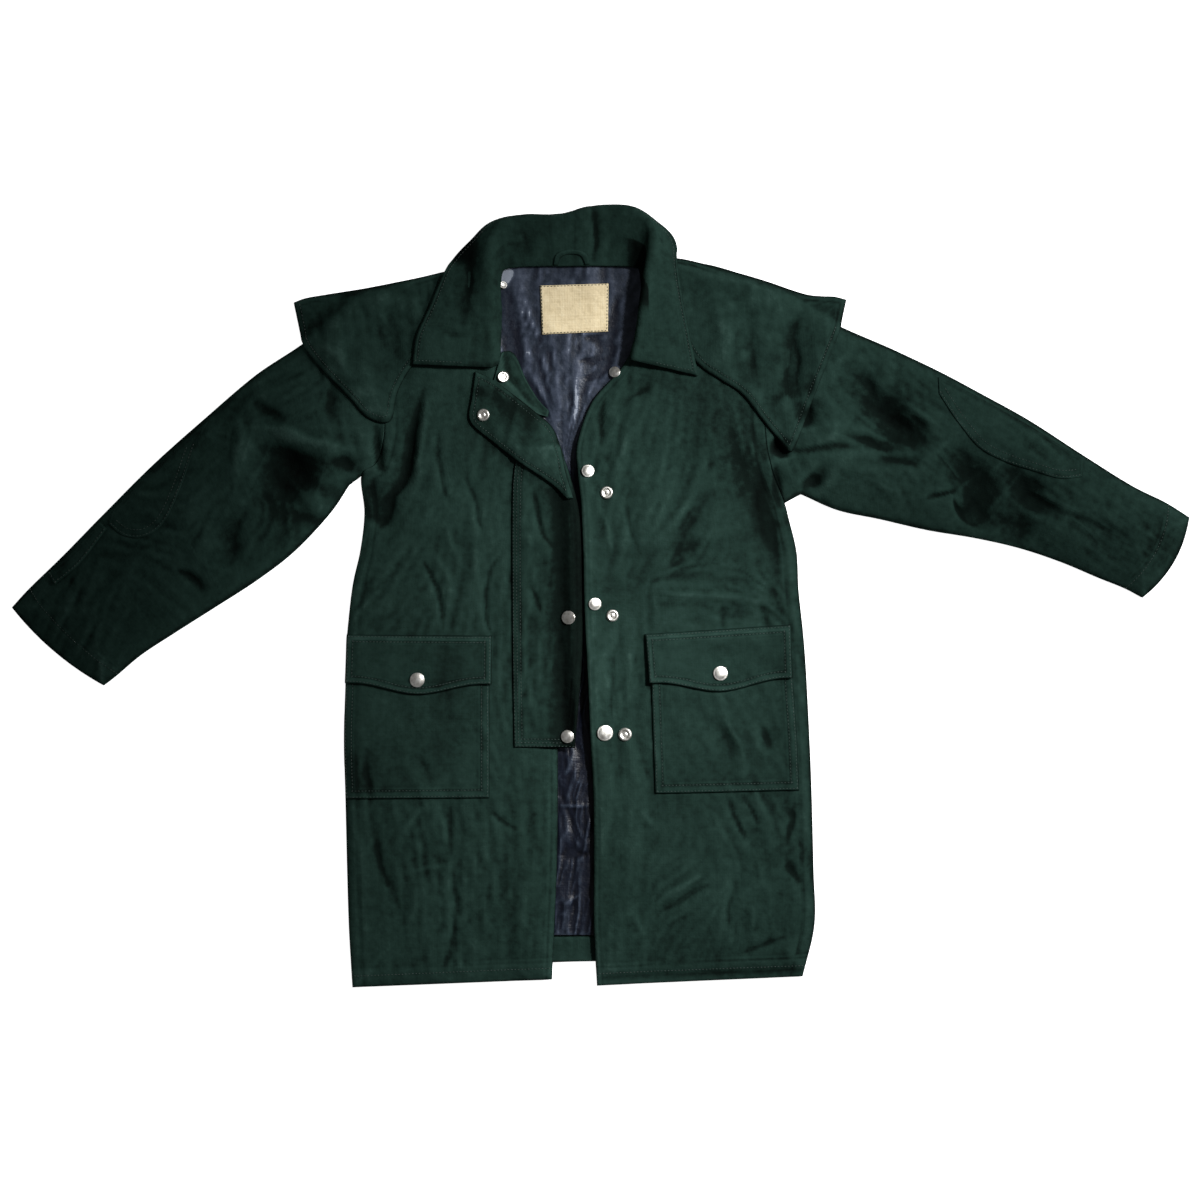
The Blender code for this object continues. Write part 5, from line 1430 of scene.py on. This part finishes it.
def make_collar():
    shares, seam, roll, outer = collar_lines()
    seam = np.column_stack([seam, on_pile(seam, 1, 2) + 0.4])
    outer = np.column_stack([outer, np.maximum(on_pile(outer, 2, 6) + 0.6, 4.0)])
    stand = seam * 0.3 + roll * 0.7
    stand[:, 2] = seam[:, 2] * 0.25 + roll[:, 2] * 0.75
    crest = roll * 0.9 + outer * 0.1
    crest[:, 2] = roll[:, 2] - 0.8
    middle = roll * 0.45 + outer * 0.55
    middle[:, 2] += LEAF_RISE
    strips = spaced(COLLAR_GIRTH, CELL)
    grid = np.zeros((len(seam), len(strips), 3))
    for index in range(len(seam)):
        curve = through_rows(np.array([seam[index], stand[index], roll[index], crest[index],
                                       middle[index], outer[index]]), 14)
        grid[index] = resampled(curve, strips)
    leaf = strips > LEAF_FROM
    rest = on_pile(grid[:, leaf, :2], 2, 6) + 0.3
    grid[:, leaf, 2] = np.maximum(grid[:, leaf, 2], rest)
    border = np.minimum(1 - strips[None, :], np.minimum(shares, 1 - shares)[:, None] * 6)
    border = border * COLLAR_GIRTH
    rough = 0.9 * crumple(grid[:, :, :2].reshape(-1, 2)).reshape(grid.shape[:2])
    along = np.gradient(grid, axis=0)
    across = np.gradient(grid, axis=1)
    normal = np.cross(across, along)
    normal /= np.linalg.norm(normal, axis=2)[:, :, None]
    if normal[:, -1, 2].mean() < 0:
        normal = -normal
    share = rounded(grid.shape[:2])
    rough = rough + over_grid(lambda p: fold_height(p, COLLAR_FOLDS), grid[:, :, :2])
    bulge = rough * (1 - np.exp(-border / 10)) * 0.6 + hem(border, EDGE_ROW, 0.4, 0.45)
    top = grid + ((COLLAR_CLOTH + bulge) * share)[:, :, None] * normal
    low = grid + (0.5 * COLLAR_CLOTH * (1 - share) * 0.6)[:, :, None] * normal
    flat_places = grid[:, :, :2]
    turned = smooth_step((strips[None, :] - TURN_FROM) / TURN_REACH)
    dark = over_grid(lambda p: hollow(p, COLLAR_FOLDS), flat_places) + seam_shade_lines(border, EDGE_ROW)
    dark += over_grid(lambda p: painted_shade(p, COLLAR_PAINTED_SHADE, SMALL_PIECE_SHADE_SHARE), flat_places)
    dark += (1 - turned) * shaded(flat_places, STAND_SHADES)
    dark += turned * shaded(flat_places, LEAF_SHADES)
    wall("collar", low, top, cloth, np.clip(relief_of(bulge) + dark, *RELIEF_RANGE))
    inside = np.abs(strips - (1 - EDGE_ROW / COLLAR_GIRTH)).argmin()
    sew("collar", grid[3:-3, inside, :2])
    sew("collar", grid[2, leaf][:-2, :2])
    sew("collar", grid[-3, leaf][:-2, :2])


make_collar()
lay("collar")
print("collar:", len(pieces["collar"].data.polygons))

# %% Small pieces
PATCH_CLOTH = 0.8
LOOP_SHADE = -0.3
loop_grid = fine_grid(*band_lines(HANGER_LOOP), cell=SMALL_CELL)
panel("hanger_loop", loop_grid, on_pile(loop_grid, 0, 6), TAPE, cloth, 0.0, LOOP_SHADE)
for name, table, rounds in (("elbow_patch_right", ELBOW_PATCH_RIGHT, 1),
                            ("elbow_patch_left", ELBOW_PATCH_LEFT, 1), ("cuff_tab", CUFF_TAB, 2)):
    grid = fine_grid(*band_lines(table), cell=FINE_CELL)
    thickness = CLOTH if name == "cuff_tab" else PATCH_CLOTH
    panel(name, grid, on_pile(grid, rounds - 1, rounds), thickness, cloth,
          hem(border_distance(grid), 3.0, 0.2, 0.3), over_grid(painted_shade, grid))
    for inset in (2.0, 8.0) if name != "cuff_tab" else (2.0,):
        for line in inset_border(grid, inset, ("end",) if "patch" in name else ("end", "last")):
            sew(name, line)
print("pieces so far:", len(pieces))

# %% [markdown]
# ## Press studs
# A cap is a pressed dome with a rolled rim and a shallow dish. A ring stud has a raised rim round a
# sunk socket. Both are turned, so one profile and a circle make them.


# %% Studs
# Profiles from the middle of the foot to the middle of the top: the share of the stud's radius, and
# the height in millimetres.
TURNED = [("share", float), ("height", float)]
PROFILES = {
    "cap": np.array([(0, 0), (0.98, 0), (1, 0.35), (1, 0.9), (0.96, 1.25), (0.9, 1.45), (0.84, 1.4),
                     (0.78, 1.55), (0.6, 2.05), (0.35, 2.32), (0.12, 2.4), (0, 2.4)], dtype=TURNED),
    "ring": np.array([(0, 0), (0.98, 0), (1, 0.3), (1, 0.7), (0.93, 1.3), (0.85, 1.85), (0.74, 2),
                      (0.63, 1.85), (0.56, 1.3), (0.52, 0.75), (0.3, 0.7), (0.24, 1.15),
                      (0.12, 1.25), (0, 1.25)], dtype=TURNED),
}
STUD_TURNS = 40
SEAT_TURNS = 24
SEAT_GAP = 0.15
MOST_LIFT = 1.4


def make_stud(name, kind, x, y, radius):
    """Turned stud, tilted with the pile under it."""
    turns = np.linspace(0, 2 * math.pi, SEAT_TURNS, endpoint=False)
    disc = np.array([[x, y]] + [[x + r * math.cos(t), y + r * math.sin(t)]
                                for r in (radius * 0.5, radius) for t in turns])
    under = on_pile(disc, 0, 0) - GAP
    slope = np.linalg.lstsq(np.column_stack([disc, np.ones(len(disc))]), under, rcond=None)[0]
    seat = slope[0] * disc[:, 0] + slope[1] * disc[:, 1] + slope[2]
    lift = min((under - seat).max() + SEAT_GAP, MOST_LIFT)
    profile, count = PROFILES[kind], STUD_TURNS
    corners = []
    for share, height in profile:
        for step in range(count if share else 1):
            turn = 2 * math.pi * step / count
            px, py = x + radius * share * math.cos(turn), y + radius * share * math.sin(turn)
            corners.append((px, py, slope[0] * px + slope[1] * py + slope[2] + lift + height))
    faces = [(0, 1 + (k + 1) % count, 1 + k) for k in range(count)]
    for level in range(len(profile) - 3):
        first = 1 + level * count
        faces += [(first + k, first + (k + 1) % count, first + count + (k + 1) % count,
                   first + count + k) for k in range(count)]
    first = 1 + (len(profile) - 3) * count
    faces += [(first + k, first + (k + 1) % count, first + count) for k in range(count)]
    finish_mesh(name, np.array(corners), faces, nickel, np.zeros((len(corners), 2)),
                np.zeros(len(corners)))


for snap in SNAPS:
    make_stud(str(snap["name"]), str(snap["kind"]), float(snap["x"]), float(snap["y"]),
              float(snap["radius"]))
print("studs:", len(SNAPS))

# %% [markdown]
# ## Stitches
# The rows were noted while the pieces were made. Each row is laid on its piece, and a Geometry
# Nodes tree walks along it and sets one short thread for each stitch.


# %% Stitch tree
def stitch_group():
    group = bpy.data.node_groups.new("stitch_row", "GeometryNodeTree")
    face = group.interface
    face.new_socket("Geometry", in_out="INPUT", socket_type="NodeSocketGeometry")
    for name, value in (("Pitch", 0.0034), ("Stitch Length", 0.0025), ("Thread Width", 0.0008)):
        socket = face.new_socket(name, in_out="INPUT", socket_type="NodeSocketFloat")
        socket.default_value = value
    face.new_socket("Thread", in_out="INPUT", socket_type="NodeSocketMaterial")
    face.new_socket("Geometry", in_out="OUTPUT", socket_type="NodeSocketGeometry")
    entry = group.nodes.new("NodeGroupInput").outputs
    curve = add_node(group, "GeometryNodeMeshToCurve", {"Mesh": entry["Geometry"]})
    even = add_node(group, "GeometryNodeResampleCurve",
                    {"Curve": curve.outputs[0], "Length": entry["Pitch"]}, mode="LENGTH")
    ball = add_node(group, "GeometryNodeMeshIcoSphere", {"Radius": 0.5, "Subdivisions": 1})
    tangent = group.nodes.new("GeometryNodeInputTangent").outputs[0]
    turn = add_node(group, "FunctionNodeAlignRotationToVector", {"Vector": tangent}, axis="X")
    size = add_node(group, "ShaderNodeCombineXYZ", {"X": entry["Stitch Length"],
                                                   "Y": entry["Thread Width"],
                                                   "Z": entry["Thread Width"]})
    placed = add_node(group, "GeometryNodeInstanceOnPoints",
                      {"Points": even.outputs[0], "Instance": ball.outputs[0],
                       "Rotation": turn.outputs[0], "Scale": size.outputs[0]})
    real = add_node(group, "GeometryNodeRealizeInstances", {"Geometry": placed.outputs[0]})
    paint = add_node(group, "GeometryNodeSetMaterial",
                     {"Geometry": real.outputs[0], "Material": entry["Thread"]})
    out = group.nodes.new("NodeGroupOutput")
    group.links.new(paint.outputs[0], out.inputs[0])
    return group


STITCHES = stitch_group()
THREAD_ABOVE = 0.12
ROW_STEP = 2.0


def rows_on(carrier, lines):
    """Mesh of edges along the lines, laid on top of the carrier."""
    corners, edges = [], []
    down = Vector((0, 0, -1))
    for line in lines:
        even = resampled(line, np.linspace(0, 1, max(4, round(line_length(line) / ROW_STEP))))
        last = None
        for x, y in even:
            start = Vector(((x - PLAN_MIDDLE_X) * MM, (PLAN_MIDDLE_Y - y) * MM, LOOK_FROM))
            hit = trees[carrier].ray_cast(start, down)[0]
            if hit is None:
                last = None
                continue
            corners.append((hit.x, hit.y, hit.z + THREAD_ABOVE * MM))
            if last is not None:
                edges.append((last, len(corners) - 1))
            last = len(corners) - 1
    mesh = bpy.data.meshes.new("rows")
    mesh.from_pydata(corners, edges, [])
    return mesh


def make_stitches(carrier, lines):
    name = "stitches_" + carrier
    item = bpy.data.objects.new(name, rows_on(carrier, lines))
    bpy.context.scene.collection.objects.link(item)
    modifier = item.modifiers.new("stitches", "NODES")
    modifier.node_group = STITCHES
    sockets = {socket.name: socket.identifier for socket in STITCHES.interface.items_tree
               if socket.in_out == "INPUT"}
    modifier[sockets["Thread"]] = thread
    bpy.context.view_layer.update()
    evaluated = item.evaluated_get(bpy.context.evaluated_depsgraph_get())
    mesh = bpy.data.meshes.new_from_object(evaluated)
    mesh.name = name
    item.modifiers.clear()
    item.data = mesh
    mesh.shade_smooth()
    return item


stitches = {carrier: make_stitches(carrier, lines) for carrier, lines in stitch_rows.items()}
print("stitch faces:", sum(len(item.data.polygons) for item in stitches.values()))

# %% [markdown]
# ## Telling the frame
# Every piece rides with the one body and stands for its plain wall, which is hidden; the stitches
# ride with the body too.


FLOOR = "floor"
SHEET = [("name", "U24"), ("width", float), ("length", float), ("area", float), ("on", "U60")]
SHEETS = np.array([
    ("cape_back", 0.556, 0.230, 0.103, FLOOR),
    ("back_panel", 0.470, 0.730, 0.320, "cape_back"),
    ("back_lining", 0.172, 0.670, 0.060, "back_panel"),
    ("hem_facing", 0.072, 0.025, 0, "back_panel"),
    ("label", 0.064, 0.047, 0, "back_lining"),
    ("front_right", 0.225, 0.730, 0.141, "back_panel,back_lining"),
    ("front_left", 0.225, 0.730, 0.148, "back_panel,back_lining"),
    ("sleeve_right", 0.400, 0.480, 0.125, FLOOR),
    ("sleeve_left", 0.400, 0.480, 0.116, FLOOR),
    ("pocket_right", 0.147, 0.150, 0, "front_right"),
    ("pocket_left", 0.146, 0.143, 0, "front_left"),
    ("pocket_flap_right", 0.148, 0.061, 0, "pocket_right"),
    ("pocket_flap_left", 0.148, 0.066, 0, "pocket_left"),
    ("storm_flap", 0.066, 0.300, 0, "front_right"),
    ("neck_corner", 0.064, 0.036, 0.0018, "back_lining"),
    ("lapel", 0.135, 0.070, 0.0062, "front_right,storm_flap"),
    ("cape_right", 0.200, 0.170, 0.0165, "front_right,sleeve_right"),
    ("cape_left", 0.210, 0.180, 0.0215, "front_left,sleeve_left"),
    ("collar", 0.520, 0.100, 0.0305, "cape_right,cape_left"),
    ("hanger_loop", 0.062, 0.010, 0.0003, "collar"),
    ("elbow_patch_right", 0.140, 0.070, 0.0045, "sleeve_right"),
    ("elbow_patch_left", 0.170, 0.055, 0.0055, "sleeve_left"),
    ("cuff_tab", 0.080, 0.014, 0, "sleeve_right"),
], dtype=SHEET)
FLOOR_HALF = 4.0
FLOOR_TOP = -0.0005
FLOOR_GLOW = 0.95
floor_mesh = bpy.data.meshes.new("floor")
floor_mesh.from_pydata([(x * FLOOR_HALF, y * FLOOR_HALF, FLOOR_TOP)
                        for x, y in ((-1, -1), (1, -1), (1, 1), (-1, 1))], [], [(0, 1, 2, 3)])
floor = bpy.data.objects.new("floor", floor_mesh)
bpy.context.scene.collection.objects.link(floor)
floor_material, floor_tree, floor_shader = start_material("pale_floor")
floor_shader.inputs["Base Color"].default_value = (0.93, 0.93, 0.93, 1.0)
floor_shader.inputs["Roughness"].default_value = 0.9
floor_shader.inputs["Emission Color"].default_value = (1.0, 1.0, 1.0, 1.0)
floor_shader.inputs["Emission Strength"].default_value = FLOOR_GLOW
floor_mesh.materials.append(floor_material)

for name, item in pieces.items():
    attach(item, "root")
    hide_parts(name)
for carrier, item in stitches.items():
    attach(item, "root")
for row in SHEETS:
    name = str(row["name"])
print("declared:", len(pieces), "pieces,", len(SHEETS), "sheets")

# %% [markdown]
# ## Camera and light
# The photograph looks straight down. The key comes low from the right and falls away from the chest,
# so two soft-rimmed beams share one place; a wide weak lamp and a plain world fill the rest.

# %% Camera
CAMERA_AIM = (600.0, 600.0)
VIEW_WIDTH = 1200.0
COAT_MIDDLE_HEIGHT = 8.0
LENS = 70.0
SENSOR = 36.0
camera_data = bpy.data.cameras.new("camera")
camera_data.lens = LENS
camera_data.sensor_width = SENSOR
camera = bpy.data.objects.new("camera", camera_data)
camera_spot = to_world(np.array([*CAMERA_AIM, VIEW_WIDTH * LENS / SENSOR + COAT_MIDDLE_HEIGHT]))
camera.location = camera_spot.tolist()
bpy.context.scene.collection.objects.link(camera)
bpy.context.scene.camera = camera


# %% Lights
KEY_SPOT = (1.22, 0.78, 1.70)
BEAM = {"spot_size": math.radians(17.0), "spot_blend": 1.0, "shadow_soft_size": 0.12}


def lamp(kind, name, spot, aim, power, **settings):
    """Lamp that looks at its aim and isn't seen itself."""
    data = bpy.data.lights.new(name, kind)
    data.energy = power
    for setting, value in settings.items():
        setattr(data, setting, value)
    item = bpy.data.objects.new(name, data)
    item.location = spot
    item.visible_camera = False
    item.rotation_euler = (Vector(aim) - Vector(spot)).to_track_quat("-Z", "Y").to_euler()
    bpy.context.scene.collection.objects.link(item)


lamp("SPOT", "key_chest", KEY_SPOT, (-0.01, 0.10, 0), 225.0, **BEAM)
lamp("SPOT", "key_skirt", KEY_SPOT, (-0.02, -0.33, 0), 238.0, **BEAM)
lamp("AREA", "wide", (1.15, 0.5, 0.9), (0.35, 0.05, 0), 15.0, shape="DISK", size=0.4)
WORLD_STRENGTH = 0.13
world = bpy.data.worlds.new("studio")
world.use_nodes = True
background = world.node_tree.nodes["Background"].inputs
background["Color"].default_value = (1.0, 1.0, 1.0, 1.0)
background["Strength"].default_value = WORLD_STRENGTH
bpy.context.scene.world = world
bpy.context.scene.view_settings.view_transform = "Standard"
